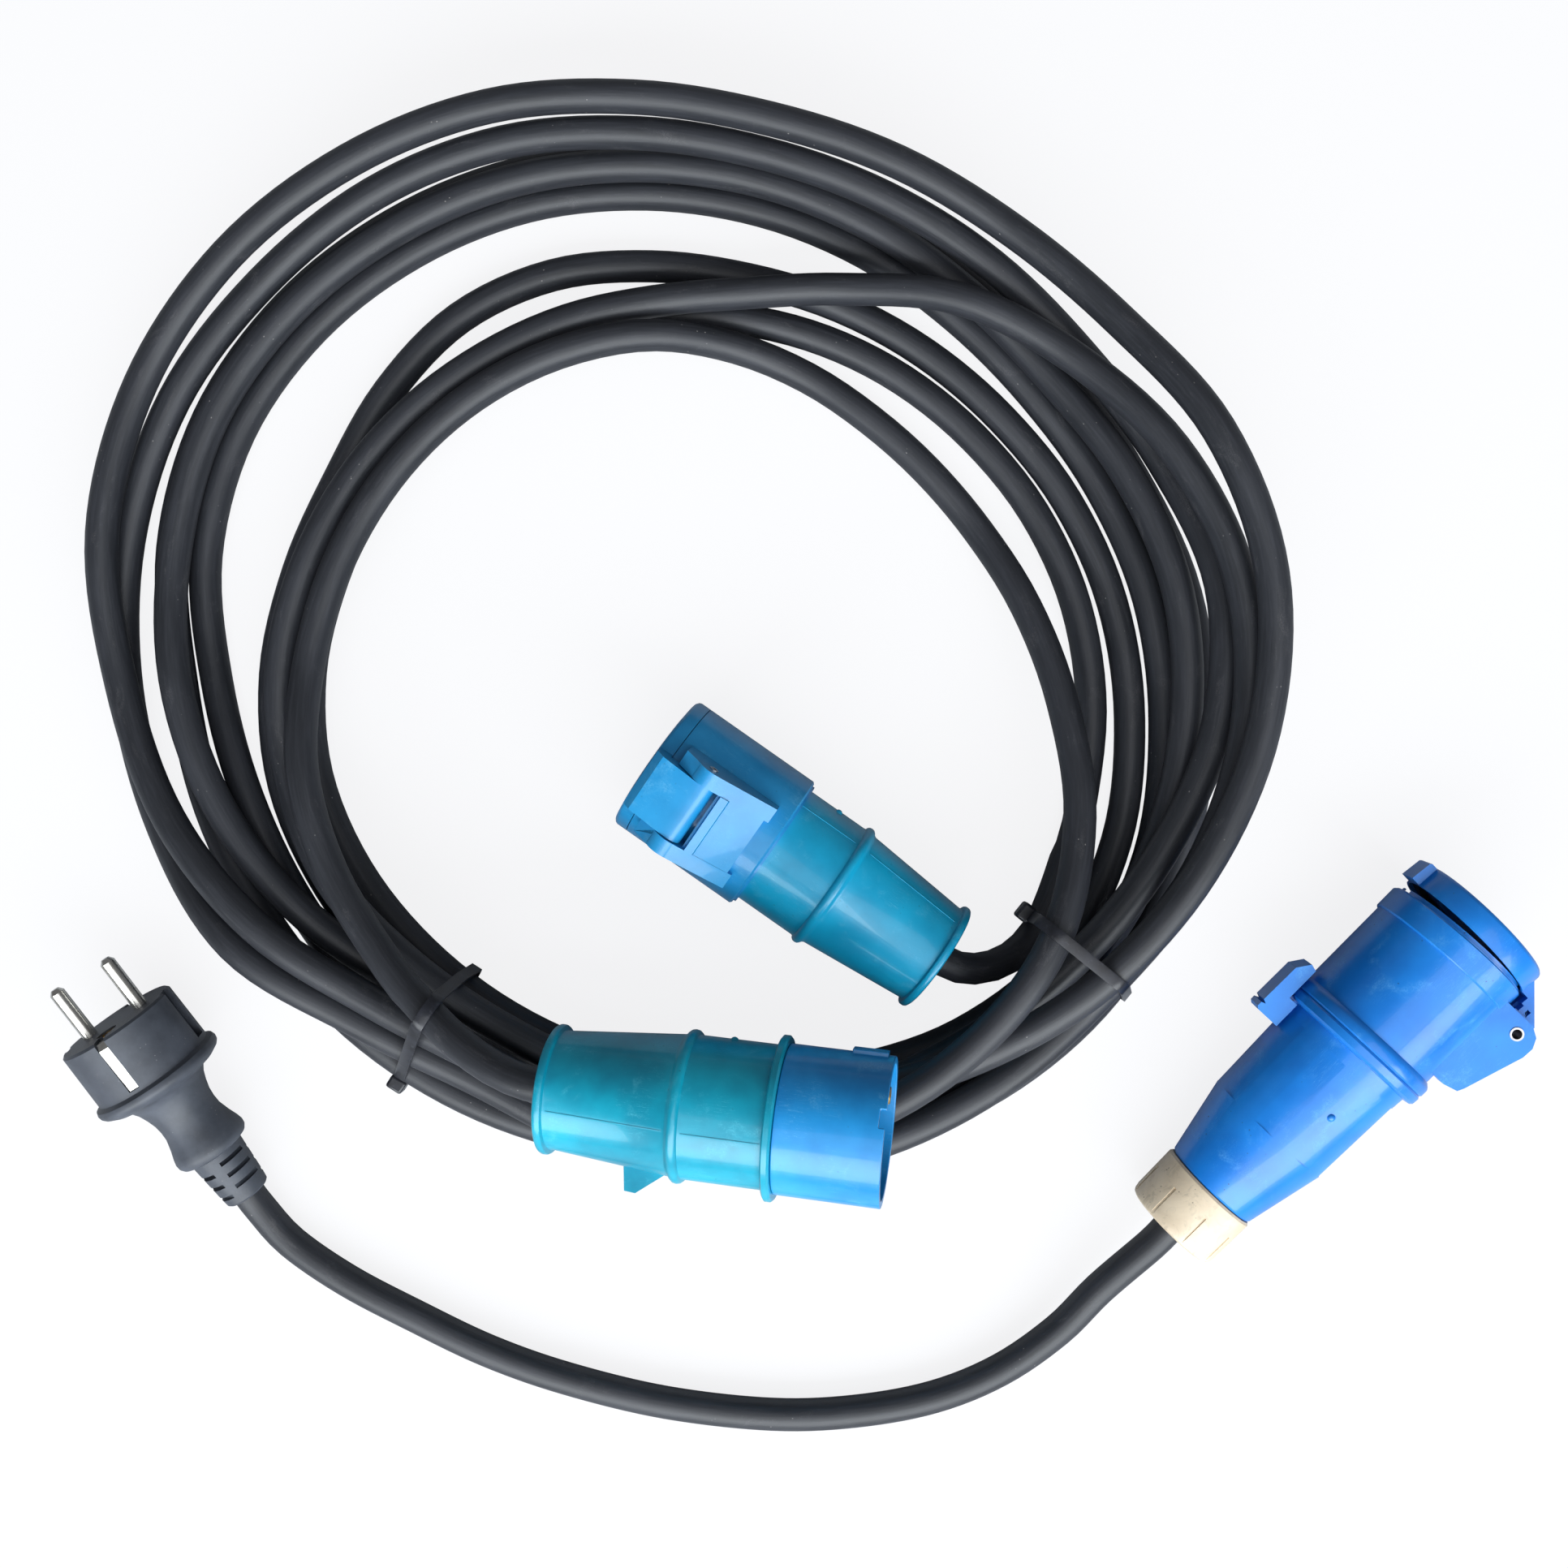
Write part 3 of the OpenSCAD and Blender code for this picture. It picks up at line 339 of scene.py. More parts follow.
CORES = matt_plastic("core insulation", "core_insulation", shade(142, 92, 50), shade(104, 62, 36), 0.4)


def placed(name, data):
    """A new object in the scene."""
    made = bpy.data.objects.new(name, data)
    bpy.context.scene.collection.objects.link(made)
    return made


def points_of(geom):
    return [part for part in geom if isinstance(part, bmesh.types.BMVert)]


# ---- forms, drawn in a head's own frame in millimetres ----
def form(bm):
    """An object that holds a finished bmesh."""
    bmesh.ops.remove_doubles(bm, verts=bm.verts, dist=1e-4)
    bmesh.ops.recalc_face_normals(bm, faces=bm.faces)
    mesh = bpy.data.meshes.new("form")
    bm.to_mesh(mesh)
    bm.free()
    return placed("form", mesh)


def spun(profile, sides=96):
    """Solid of revolution about X from (x, radius) pairs."""
    bm = bmesh.new()
    ring = [bm.verts.new((x, 0.0, r)) for x, r in profile]
    pairs = [p for p in zip(ring, ring[1:] + ring[:1]) if p[0].co.z > 0 or p[1].co.z > 0]
    geom = [bm.edges.new(p) for p in pairs] + ring
    bmesh.ops.spin(bm, geom=geom, axis=(1, 0, 0), cent=(0, 0, 0), angle=math.tau, steps=sides, use_merge=True)
    return form(bm)


def rod(r, length, place, sides):
    """Round bar about Z, moved into place."""
    bm = bmesh.new()
    sizes = {"radius1": r, "radius2": r, "depth": length}
    bmesh.ops.create_cone(bm, cap_ends=True, segments=sides, matrix=place, **sizes)
    return form(bm)


def bar(x0, x1, r, sides=64):
    """Round bar along the head's axis."""
    place = Matrix.Translation(((x0 + x1) / 2, 0, 0)) @ Matrix.Rotation(math.radians(90), 4, "Y")
    return rod(r, x1 - x0, place, sides)


def pin(x, z, y0, y1, r, sides=48):
    """Round bar along Y."""
    place = Matrix.Translation((x, (y0 + y1) / 2, z)) @ Matrix.Rotation(math.radians(90), 4, "X")
    return rod(r, y1 - y0, place, sides)


def slab(y0, y1, outline):
    """Plate between two values of y from an outline of (x, z) pairs."""
    bm = bmesh.new()
    face = bm.faces.new([bm.verts.new((x, y0, z)) for x, z in outline])
    grown = bmesh.ops.extrude_face_region(bm, geom=[face])["geom"]
    bmesh.ops.translate(bm, vec=(0, y1 - y0, 0), verts=points_of(grown))
    return form(bm)


def block(low, high):
    bm = bmesh.new()
    low, high = Vector(low), Vector(high)
    place = Matrix.Translation((low + high) / 2) @ Matrix.Diagonal((*(high - low), 1))
    bmesh.ops.create_cube(bm, size=1.0, matrix=place)
    return form(bm)


def ball(x, y, z, r):
    bm = bmesh.new()
    place = Matrix.Translation((x, y, z))
    bmesh.ops.create_uvsphere(bm, u_segments=24, v_segments=12, radius=r, matrix=place)
    return form(bm)


def moved(made, matrix):
    made.data.transform(matrix)
    return made


def rolled(made, degrees):
    """Turned about the head's axis."""
    return moved(made, Matrix.Rotation(math.radians(degrees), 4, "X"))


def settle(made):
    """Writes what the modifiers show into the mesh."""
    shown = made.evaluated_get(bpy.context.evaluated_depsgraph_get())
    mesh, old = bpy.data.meshes.new_from_object(shown), made.data
    made.modifiers.clear()
    made.data = mesh
    bpy.data.meshes.remove(old)
    return made


def combine(operation, made, tools):
    for tool in tools:
        step = made.modifiers.new(operation, "BOOLEAN")
        step.operation, step.solver, step.object = operation, "EXACT", tool
    settle(made)
    for tool in tools:
        mesh = tool.data
        bpy.data.objects.remove(tool)
        bpy.data.meshes.remove(mesh)
    return made


def fuse(made, *others):
    return combine("UNION", made, others)


def cut(made, *tools):
    return combine("DIFFERENCE", made, tools)


def soften(made, width, sharp=33.0, segments=3):
    """Merges flat neighbours, then rounds every edge that is sharper than a limit."""
    bm = bmesh.new()
    bm.from_mesh(made.data)
    bmesh.ops.remove_doubles(bm, verts=bm.verts, dist=0.004)
    bmesh.ops.dissolve_limit(bm, angle_limit=math.radians(0.6), verts=bm.verts, edges=bm.edges)
    bm.to_mesh(made.data)
    bm.free()
    for face in made.data.polygons:
        face.use_smooth = True
    step = made.modifiers.new("soften", "BEVEL")
    step.width, step.segments, step.limit_method = width, segments, "ANGLE"
    step.angle_limit, step.harden_normals, step.miter_outer = math.radians(sharp), True, "MITER_ARC"
    return settle(made)


def dress(made, name, head, finish, replaces=(), body=LEADS):
    """Places a form in the frame, finishes it and lets it ride on its body."""
    made.name = made.data.name = name
    made.data.transform(head.matrix)
    made.data.materials.clear()
    made.data.materials.append(finish.material)
    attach(made, body)
    if replaces:
        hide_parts(*replaces)
    return made


# ---- cables ----
CABLE_R = 5.25
TURN_PITCH = 11.2  # least distance between the middles of two turns
CLIMB = 0.32  # most that the cable climbs or drops for its run over the table
FLOOR_Z = 4.2  # height of its middle on the table, where its underside is cut flat
TIE_FLOOR = 5.75  # the same on a tie's strap
END_Z = 46.0  # least height of the coil's last ring, from which the lead goes up to the plug
COIL_MIDDLE = Vector((-33.6, 48.9))
CORE_X = 26.0  # where the jacket ends inside each head, along its axis
ADAPTER_CORE_X = 36.0
MAINS_CORE_X = -55.5
RELIEF_END = -73.0
COIL_START = 320  # degrees round the coil, as the next three are
RING_STEP = 15
STATION_STEP = 40
TIED_AT = (320, 230, 245)
RINGS_A_TURN = 360 // RING_STEP
LAST_RING = 210
# reach of each turn from the coil's middle, at nine stations round it
REACH = [
    (152, 135.5, 118, 110.5, 112.5, 118, 133, 139.5, 152),
    (166, 148, 129.5, 124.5, 133.5, 130, 144.5, 151, 163.5),
    (177.5, 159.5, 143.5, 148, 159.5, 167, 156, 162.5, 175),
    (183.5, 171, 155, 159.5, 171, 178.5, 167.5, 168.5, 169.5),
    (172, 165, 149, 154, 165, 173, 161.5, 145, 158),
    (165, 176, 160, 159.5, 176, 189, 187, 159, 174),
    (179, 180, 151, 116, 113, 123.5, 138.5, 139.5, 152),
    (172.5, 185, 171, 168, 185, 197, 176.5, 150, 163),
    (153, 118, 99, 99.5, 102.5, 112.5, 129, 142, 150),
]
# the cable's middle on the work table, in millimetres
LEAD_IN = [
    (50.3, -57, 24), (62.9, -61, 19), (75.4, -58, 12.6), (85, -49.6, 7.4), (91, -38, 4.6), (95.2, -26, 4.2),
]
LEAD_OUT = [(-114, -67.1, 49.6), (-104.2, -75.7, 54.6), (-93.6, -82.8, 59.9), (-82.1, -88.1, 64.6)]
ADAPTER_ROUTE = [
    (-166.8, -155.3, 5.25), (-148, -168.2, 5.25), (-125.5, -180, 5.25), (-100, -192.2, 5.25),
    (-73.2, -201.6, 5.25), (-40, -209.6, 5.25), (-4.4, -213.6, 5.25), (24, -212.6, 5.25),
    (50.6, -207.6, 5.6), (73, -197.8, 7.2), (91.9, -183.5, 9.8), (105.5, -168.5, 12.6),
]


def flowing(a, b, c, d, t):
    """The smooth curve through four values, between the middle two."""
    return b + 0.5 * t * (c - a + t * (2 * a - 5 * b + 4 * c - d + t * (3 * (b - c) + d - a)))


def coil_places():
    """Where each ring of the coil lies, seen from above."""
    stations = [r for row in REACH for r in row]
    places = [Vector(p[:2]) for p in LEAD_IN]
    for k in range(1, LAST_RING + 1):
        u = RING_STEP * k / STATION_STEP
        i = math.floor(u)
        four = [stations[min(max(j, 0), len(stations) - 1)] for j in range(i - 1, i + 3)]
        angle = math.radians(COIL_START + RING_STEP * k)
        places.append(COIL_MIDDLE + flowing(*four, u - i) * Vector((math.cos(angle), math.sin(angle))))
    return places


def needed_height(q, a, b, za, zb, beside):
    """Height that a point needs to clear one length of an earlier turn."""
    ab = b - a
    t = max(0.0, min(1.0, (q - a).dot(ab) / ab.dot(ab)))
    d = (q - a - ab * t).length
    h = za + (zb - za) * t
    if d >= TURN_PITCH or (beside and d * d + (h - FLOOR_Z) ** 2 >= TURN_PITCH**2):
        return 0.0
    return h + math.sqrt(TURN_PITCH**2 - d * d)


def laid_coil():
    """The whole turns laid one after the other, each as low as the ones below it let it lie."""
    samples, ahead, near = 4, 8, 4
    spots = coil_places()
    count, n_in = len(spots), len(LEAD_IN)
    steps = [0.0] + [(b - a).length for a, b in zip(spots, spots[1:])]
    left = [sum(steps[i + 1 :]) for i in range(count)]

    def needs(z, i):
        found = []
        for s in range(samples):
            q = spots[i].lerp(spots[min(i + 1, count - 1)], s / samples)
            need = FLOOR_Z
            for turn in range(1, len(REACH) + 1):
                m = i - RINGS_A_TURN * turn
                if m > -near:
                    for h in range(max(0, m - near), m + near):
                        if h + 1 < len(z):
                            beside = h < n_in and i < n_in + 2 * RINGS_A_TURN
                            need = max(need, needed_height(q, spots[h], spots[h + 1], z[h], z[h + 1], beside))
            found.append(need)
        return found

    z, need = [], [[FLOOR_Z] * samples for _ in range(ahead)]
    for i in range(count):
        if i + ahead < count:
            need.append(needs(z, i + ahead))
        if i < n_in:
            z.append(LEAD_IN[i][2])
            continue
        tied = (COIL_START + RING_STEP * (i - n_in + 1)) % 360 in TIED_AT
        options = [TIE_FLOOR if tied else FLOOR_Z, z[i - 1] - CLIMB * steps[i], END_Z - CLIMB * left[i]]
        options += need[i - 1][1:] + need[i]
        far = 0.0
        for m in range(1, ahead + 1):
            if i + m < count:
                far += steps[i + m]
                step = steps[i + m + 1] if i + m + 1 < count else 0.0
                options += [need[i + m][s] - CLIMB * (far + step * s / samples) for s in range(samples)]
        z.append(max(options))
    return [Vector((*spot, height)) for spot, height in zip(spots, z)]


def flowing_line(points, gap):
    """A smooth line through the points, with a point about every gap millimetres."""
    ends = [2 * points[0] - points[1], *points, 2 * points[-1] - points[-2]]
    line = []
    for a, b, c, d in zip(ends, ends[1:], ends[2:], ends[3:]):
        pieces = max(1, round((c - b).length / gap))
        line += [flowing(a, b, c, d, k / pieces) for k in range(pieces)]
    return line + [points[-1]]


def cable(name, line, sides=24):
    """Round cable along a line of the work table, with its run attribute, in the frame."""
    line = [p + TABLE for p in line]
    drawn = bpy.data.curves.new(name, "CURVE")
    drawn.dimensions = "3D"
    drawn.bevel_depth, drawn.bevel_resolution, drawn.use_fill_caps = CABLE_R, sides // 2 - 2, True
    spline = drawn.splines.new("POLY")
    spline.points.add(len(line) - 1)
    for point, place in zip(spline.points, line):
        point.co = (*place, 1)
    held = placed(name, drawn)
    shown = held.evaluated_get(bpy.context.evaluated_depsgraph_get())
    mesh = bpy.data.meshes.new_from_object(shown)
    bpy.data.objects.remove(held)
    bpy.data.curves.remove(drawn)
    far = [0.0]
    for a, b in zip(line, line[1:]):
        far.append(far[-1] + (b - a).length)
    run = mesh.attributes.new("run", "FLOAT_VECTOR", "POINT")
    caps = len(mesh.vertices) - sides * len(line)
    for i in range(len(mesh.vertices)):
        ring = (i - caps) // sides if i >= caps else (0 if i < sides else len(line) - 1)
        turn = math.tau * (i % sides) / sides
        run.data[i].vector = (far[ring], CABLE_R * math.cos(turn), CABLE_R * math.sin(turn))
    bm = bmesh.new()
    bm.from_mesh(mesh)
    bmesh.ops.remove_doubles(bm, verts=bm.verts, dist=1e-4)
    bmesh.ops.scale(bm, vec=(MM, MM, MM), verts=bm.verts)
    for vert in bm.verts:
        vert.co.z = max(vert.co.z, 0.0)
    for face in bm.faces:
        face.smooth = len(face.verts) == 4
    bm.to_mesh(mesh)
    bm.free()
    made = placed(name, mesh)
    mesh.materials.clear()
    mesh.materials.append(JACKET.material)
    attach(made, LEADS)
    return made, [tuple(p * MM) for p in line], far[-1] * MM


turns = laid_coil()
plug_rear = PLUG.table_point(0)
coil_line = flowing_line(
    [
        turns[0] + CORE_X * SOCKET.axis(),
        *turns,
        *map(Vector, LEAD_OUT),
        plug_rear,
        plug_rear + CORE_X * PLUG.axis(),
    ],
    6.0,
)
relief, nut = MAINS.table_point(RELIEF_END), ADAPTER.table_point(0)
adapter_line = flowing_line(
    [
        relief + (MAINS_CORE_X - RELIEF_END - 0.05) * MAINS.axis(),
        relief,
        relief - 7 * MAINS.axis(),
        *map(Vector, ADAPTER_ROUTE),
        nut - 9 * ADAPTER.axis(),
        nut,
        nut + ADAPTER_CORE_X * ADAPTER.axis(),
    ],
    4.0,
)
extension, extension_line, extension_metres = cable("extension_jacket", coil_line)
adapter_lead, adapter_lead_line, adapter_metres = cable("adapter_jacket", adapter_line)
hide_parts("extension_cable")
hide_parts("adapter_cable")
print("cable lengths in metres:", round(extension_metres, 3), round(adapter_metres, 3))


# ---- cable ties ----
class Bench:
    """Stands for a head where a form is drawn in the frame itself, in millimetres."""

    matrix = Matrix.Scale(MM, 4)


def strap(name, node, angle, outline, head_at):
    """Ratchet strap drawn tight round the pile, with its head, pawl window and cut tail."""
    width, thick, corner = 3.8, 1.0, 2.6
    long, high = 4.6, 6.4
    bm = bmesh.new()
    loop = [bm.verts.new((x, -width / 2, z)) for x, z in outline]
    edges = [bm.edges.new(p) for p in zip(loop, loop[1:] + loop[:1])]
    grown = bmesh.ops.extrude_edge_only(bm, edges=edges)["geom"]
    bmesh.ops.translate(bm, vec=(0, width, 0), verts=points_of(grown))
    bmesh.ops.recalc_face_normals(bm, faces=bm.faces)
    crosswise = [e for e in bm.edges if abs(e.verts[0].co.y - e.verts[1].co.y) > width / 2]
    bmesh.ops.bevel(
        bm, geom=crosswise, offset=corner, segments=6, profile=0.5, affect="EDGES", material=-1,
        clamp_overlap=True,
    )
    bmesh.ops.solidify(bm, geom=list(bm.faces), thickness=thick)
    band = form(bm)
    x, z = head_at
    half = width / 2 + 1
    lock = soften(block((x, -half, z), (x + long, half, z + high)), 0.9, 40)
    ribs = [block((x + 4.3, -half, z + 0.5 + 1.3 * k), (x + 5, half, z + 1.1 + 1.3 * k)) for k in range(5)]
    tail = block((x + 1.4, -width / 2 + 0.3, z - 3.4), (x + 2.6, width / 2 - 0.3, z + 1.0))
    made = soften(fuse(band, cut(lock, *ribs), tail), 0.22, 40)
    spot = Matrix.Translation((COIL_MIDDLE.x + TABLE.x, COIL_MIDDLE.y + TABLE.y, 0))
    made.data.transform(spot @ Matrix.Rotation(math.radians(angle), 4, "Z"))
    return dress(made, name, Bench, STRAP, [node])


LEFT_PILE = [
    (131.2, 3), (134.3, 0), (152.9, 0), (164.7, 2.9), (173.6, 15.8), (173.6, 20.4), (165.5, 32.5),
    (145.8, 59.4), (139.5, 59.4), (135.2, 55.2), (131.7, 28.7),
]
RIGHT_PILE = [
    (146.6, 3.5), (150, 0), (181.9, 0), (190.2, 13.1), (190.2, 16.6), (185.2, 32.9), (178.7, 53.8),
    (175.3, 57), (151.6, 56.8), (148.5, 55.5), (144.1, 51.1),
]
left_strap = strap("left_strap", "left_cable_tie", 237.5, LEFT_PILE, (173.1, 14))
right_strap = strap("right_strap", "right_cable_tie", 321, RIGHT_PILE, (141.2, 26))


# ---- forms that the two extension heads share ----
BODY_R = 24.0
SHROUD_R = 21.75
BORE_R = 22.0
WALL = 2.2
HINGE_R = 28.6
BARREL_R = 4.0
EAR_IN, EAR_OUT = 10.3, 15.4
REAR_PROFILE = [
    (0, 18.2), (0.4, 18.9), (1, 19.2), (2, 19.2), (2.5, 18.9), (2.9, 17.7), (3.6, 17.55), (39.2, 20.7),
    (39.9, 21.1), (40.4, 21.8), (41.0, 22.3), (41.8, 22.45), (42.6, 22.3), (43.2, 21.8), (43.5, 21.1),
    (44.2, 21.0),
]


def rear_shell(tail):
    """Grip: rear flange, taper, middle ring, and what tail adds up to the front body."""
    outer = spun([(0, 0), *REAR_PROFILE, *tail, (tail[-1][0], 0)])
    inner = spun([(3, 0), (3, 15.2), (40, 18.6), (66, 18.8), (74, 18.8), (74, 0)])
    return cut(outer, inner, bar(-1, 4, CABLE_R + 0.5))


def seam(profile, at, proud=0.14, width=0.28):
    """Fine parting line that stands a little proud of a turned profile, at an angle round the axis."""
    low = [(x, r - 0.8) for x, r in profile]
    high = [(x, r + proud) for x, r in reversed(profile)]
    return rolled(slab(-width / 2, width / 2, low + high), at)


# ---- extension plug ----
rear = rear_shell([(67.6, 21), (67.8, 23.3), (68.3, 24), (69.8, 24), (70.4, 23.4)])
rear = cut(rear, spun([(62, 0), (62, 18.8), (71, 18.8), (71, 0)]))
fin = slab(-1.6, 1.6, [(24.6, 18.4), (25.6, 26.9), (29, 27.2), (38, 20.2), (38, 19.4), (24.6, 18.4)])
line = [(4, 17.6), (38.6, 20.62)]
parts = [fin, ball(54, 0, -20.6, 1.3)]
front_line = [(44.5, 21), (67, 21)]
parts += [seam(line, 100), seam(line, -80), seam(front_line, 100), seam(front_line, -80)]
plug_rear_shell = dress(soften(fuse(rear, *parts), 0.28), "plug_grip", PLUG, TEAL, ["plug_rear_housing"])

shroud = spun([
    (62, 16.5), (72.4, 16.5), (72.4, SHROUD_R - WALL), (101.5, SHROUD_R - WALL), (101.5, SHROUD_R),
    (70.5, SHROUD_R), (70.5, 18.7), (62, 18.7),
])
shroud = fuse(shroud, block((89, -2.5, -SHROUD_R - 1.3), (99.5, 2.5, -SHROUD_R + 1.3)))
shroud = cut(shroud, rolled(block((99.7, SHROUD_R - 4, -2.6), (104.7, SHROUD_R + 2, 2.6)), -21))
plug_shroud = dress(soften(shroud, 0.4), "plug_shroud", PLUG, SHROUD_BLUE, ["plug_front_body"])


# ---- extension connector ----
rear = rear_shell([(66, 21), (72, 21)])
front_line = [(44.5, 21), (65.2, 21)]
parts = [ball(54, -20.6, 0, 1.3), seam(line, 60), seam(line, -120)]
parts += [seam(front_line, 60), seam(front_line, -120)]
rear = soften(fuse(rear, *parts), 0.28)
socket_grip = dress(rear, "socket_grip", SOCKET, SOCKET_TEAL, ["socket_rear_housing"])


def sleeve(x0, seat, mouth, rear_bore):
    """Front body: sleeve with its key groove and a lip round the mouth."""
    made = spun([
        (x0, rear_bore), (seat, rear_bore), (seat, BORE_R), (mouth + 1.3, BORE_R),
        (mouth + 1.3, BORE_R + 0.6), (mouth, BORE_R + 0.6), (mouth, BODY_R), (x0 + 0.6, BODY_R),
        (x0, BODY_R - 0.6),
    ], 128)
    return cut(made, block((seat + 4, -2.9, -BORE_R - 1.3), (seat + 64, 2.9, -BORE_R + 2.7)))


def ear(side, hx, outline, nose, pin_r=1.5):
    """One hinge cheek with its nose and the hole for the rod."""
    y0, y1 = sorted((side * EAR_IN, side * EAR_OUT))
    made = fuse(slab(y0, y1, outline), pin(hx, HINGE_R, y0, y1, nose))
    return cut(made, bar(hx - 60, hx + 60, BODY_R - 0.3), pin(hx, HINGE_R, y0 - 2, y1 + 2, pin_r + 0.02))


def bridge(outline):
    """Plate that joins the two cheeks behind the hinge."""
    return cut(slab(-EAR_IN, EAR_IN, outline), bar(outline[0][0] - 1, outline[0][0] + 60, BODY_R - 0.3))


def swung(made, hx, degrees):
    """Turned open about the hinge."""
    spot = Matrix.Translation((hx, 0, HINGE_R))
    return moved(made, spot @ Matrix.Rotation(math.radians(-degrees), 4, "Y") @ spot.inverted())


def lid(mouth, hx, deep, arm_front, pin_r=1.5):
    """Cap over the mouth with its arm and hinge barrel, drawn shut; a deep cap is hollow."""
    inside = [(mouth + 3.6, 17), (mouth + 3.6 + deep, 16.5)] if deep else []
    cap = spun([
        (mouth + 0.3, BORE_R + 1.2), (mouth + 3.6, BORE_R + 1.2), *inside,
        (mouth + 3.6 + deep, 0), (mouth + 6.3 + deep, 0), (mouth + 6.1 + deep, 10), (mouth + 5.6 + deep, 20),
        (mouth + 5.2 + deep, BODY_R - 1), (mouth + 4.6 + deep, BODY_R - 0.3), (mouth + 3.9 + deep, BODY_R),
        (mouth + 0.3, BODY_R),
    ], 128)
    half = EAR_IN - 0.3
    arm = slab(-half, half, [
        (hx, HINGE_R - BARREL_R), (mouth + 0.3, HINGE_R - BARREL_R), (mouth + 0.3, 18),
        *[(mouth + x, z) for x, z in arm_front], (hx + 3, HINGE_R + BARREL_R), (hx, HINGE_R + BARREL_R),
    ])
    arm = cut(arm, bar(mouth - 1, mouth + 3.6, BORE_R + 1.2))
    made = fuse(cap, pin(hx, HINGE_R, -half, half, BARREL_R), arm)
    spring_room = 3 if pin_r < 2 else 3.4
    return cut(made, pin(hx, HINGE_R, -20, 20, pin_r + 0.06), pin(hx, HINGE_R, -4, 4, spring_room))


SOCKET_MOUTH, SOCKET_HX = 107.0, 94.0
cheek = [(71, 15), (71, 23.9), (90.6, 33), (96, 33.2), (104, 27.5), (104, 15)]
front = fuse(
    sleeve(65.8, 72, SOCKET_MOUTH, 21.05),
    spun([(65.0, 21.05), (65.81, 21.05), (65.81, 22.6), (65.0, 22.6)]),
    ear(1, SOCKET_HX, cheek, 5.3),
    ear(-1, SOCKET_HX, cheek, 5.3),
    bridge([
        (72.5, 19), (72.5, 24.45), (84.4, 29.95), (84.7, 30.9), (87.4, 32), (87.7, 31.2), (87.9, 29.5),
        (88.6, 29.5), (88.6, 19),
    ]),
)
socket_front = dress(soften(front, 0.35), "socket_sleeve", SOCKET, SOCKET_BLUE, ["socket_front_body"])
cap = soften(lid(SOCKET_MOUTH, SOCKET_HX, 0, [(4.6, 18), (4.6, BODY_R + 3.4), (2, HINGE_R + 1.6)]), 0.4)
socket_cap = dress(cap, "socket_cap", SOCKET, SOCKET_BLUE, ["socket_lid"], "socket_lid")


# ---- adapter connector ----
ADAPTER_MOUTH, ADAPTER_HX, ADAPTER_OPEN = 132.0, 121.4, 4
NUT_END = 19.0
ring_nut = spun([
    (0, 0), (0, 15.0), (0.5, 15.9), (1.3, 16.3), (3, 16.6), (NUT_END - 0.8, 16.8), (NUT_END, 16.2),
    (NUT_END, 0),
], 128)
slots = [rolled(block((-1, -0.5, 16.2), (12, 0.5, 18.2)), 45 * k) for k in range(8)]
ring_nut = cut(ring_nut, bar(-1, NUT_END + 1, CABLE_R + 0.4), bar(4, NUT_END + 1, 13.6), *slots)
gland_nut = dress(soften(ring_nut, 0.35), "gland_ring", ADAPTER, CREAM, ["adapter_gland_nut"], "gland_nut")

grip = spun([
    (8, 9.7), (8, 13.2), (19.3, 13.2), (19.3, 15.8), (20, 16.3), (46, 21.5), (78, 22.3), (82.4, 22.6),
    (82.8, 24.8), (83.6, 25.6), (85.9, 25.8), (86.6, 25.3), (86.6, 21.9), (87.9, 21.9), (87.9, 20.4),
    (78, 20.2), (48, 19.2), (26, 14.6), (25, 9.7),
], 128)
flats = []
for k in range(8):
    flat = moved(block((0, -12, 0), (32, 12, 4)), Matrix.Rotation(math.radians(-1.4), 4, "Y"))
    flats.append(rolled(moved(flat, Matrix.Translation((46, 0, 21.2))), 45 * k + 22.5))
threads = [rolled(block((8, -0.6, 12.4), (17, 0.6, 14.4)), 30 * k) for k in range(12)]
grip = cut(grip, *flats, *threads)
lug = slab(-2, 2, [(77.4, -20.8), (83, -20.8), (83, -27), (81.4, -28), (79, -28), (77.4, -27)])
grip = fuse(grip, cut(lug, pin(80.2, -25.4, -3, 3, 1.26)), ball(63, 21.2, 3.6, 1.4))
adapter_grip = dress(soften(grip, 0.35, 24), "adapter_grip", ADAPTER, ADAPTER_BLUE, ["adapter_rear_housing"])

tab = slab(-5, 5, [
    (72.4, -23.2), (81.9, -23.2), (81.9, -26.6), (93.9, -26.6), (94.6, -29), (90.4, -32), (76, -32.2),
    (75.4, -30.8), (74.8, -32.2), (73.2, -32.2), (72.4, -31.2),
])
tab = cut(tab, bar(60, 90, 23.7), slab(-2.3, 2.3, [(76.6, -20), (84, -20), (84, -28.9), (76.6, -28.9)]))
tab = fuse(tab, pin(80.2, -25.4, -4.9, 4.9, 1.2))
latch_tab = dress(soften(tab, 0.35), "latch_tab", ADAPTER, ADAPTER_BLUE, ["adapter_latch"], "latch")

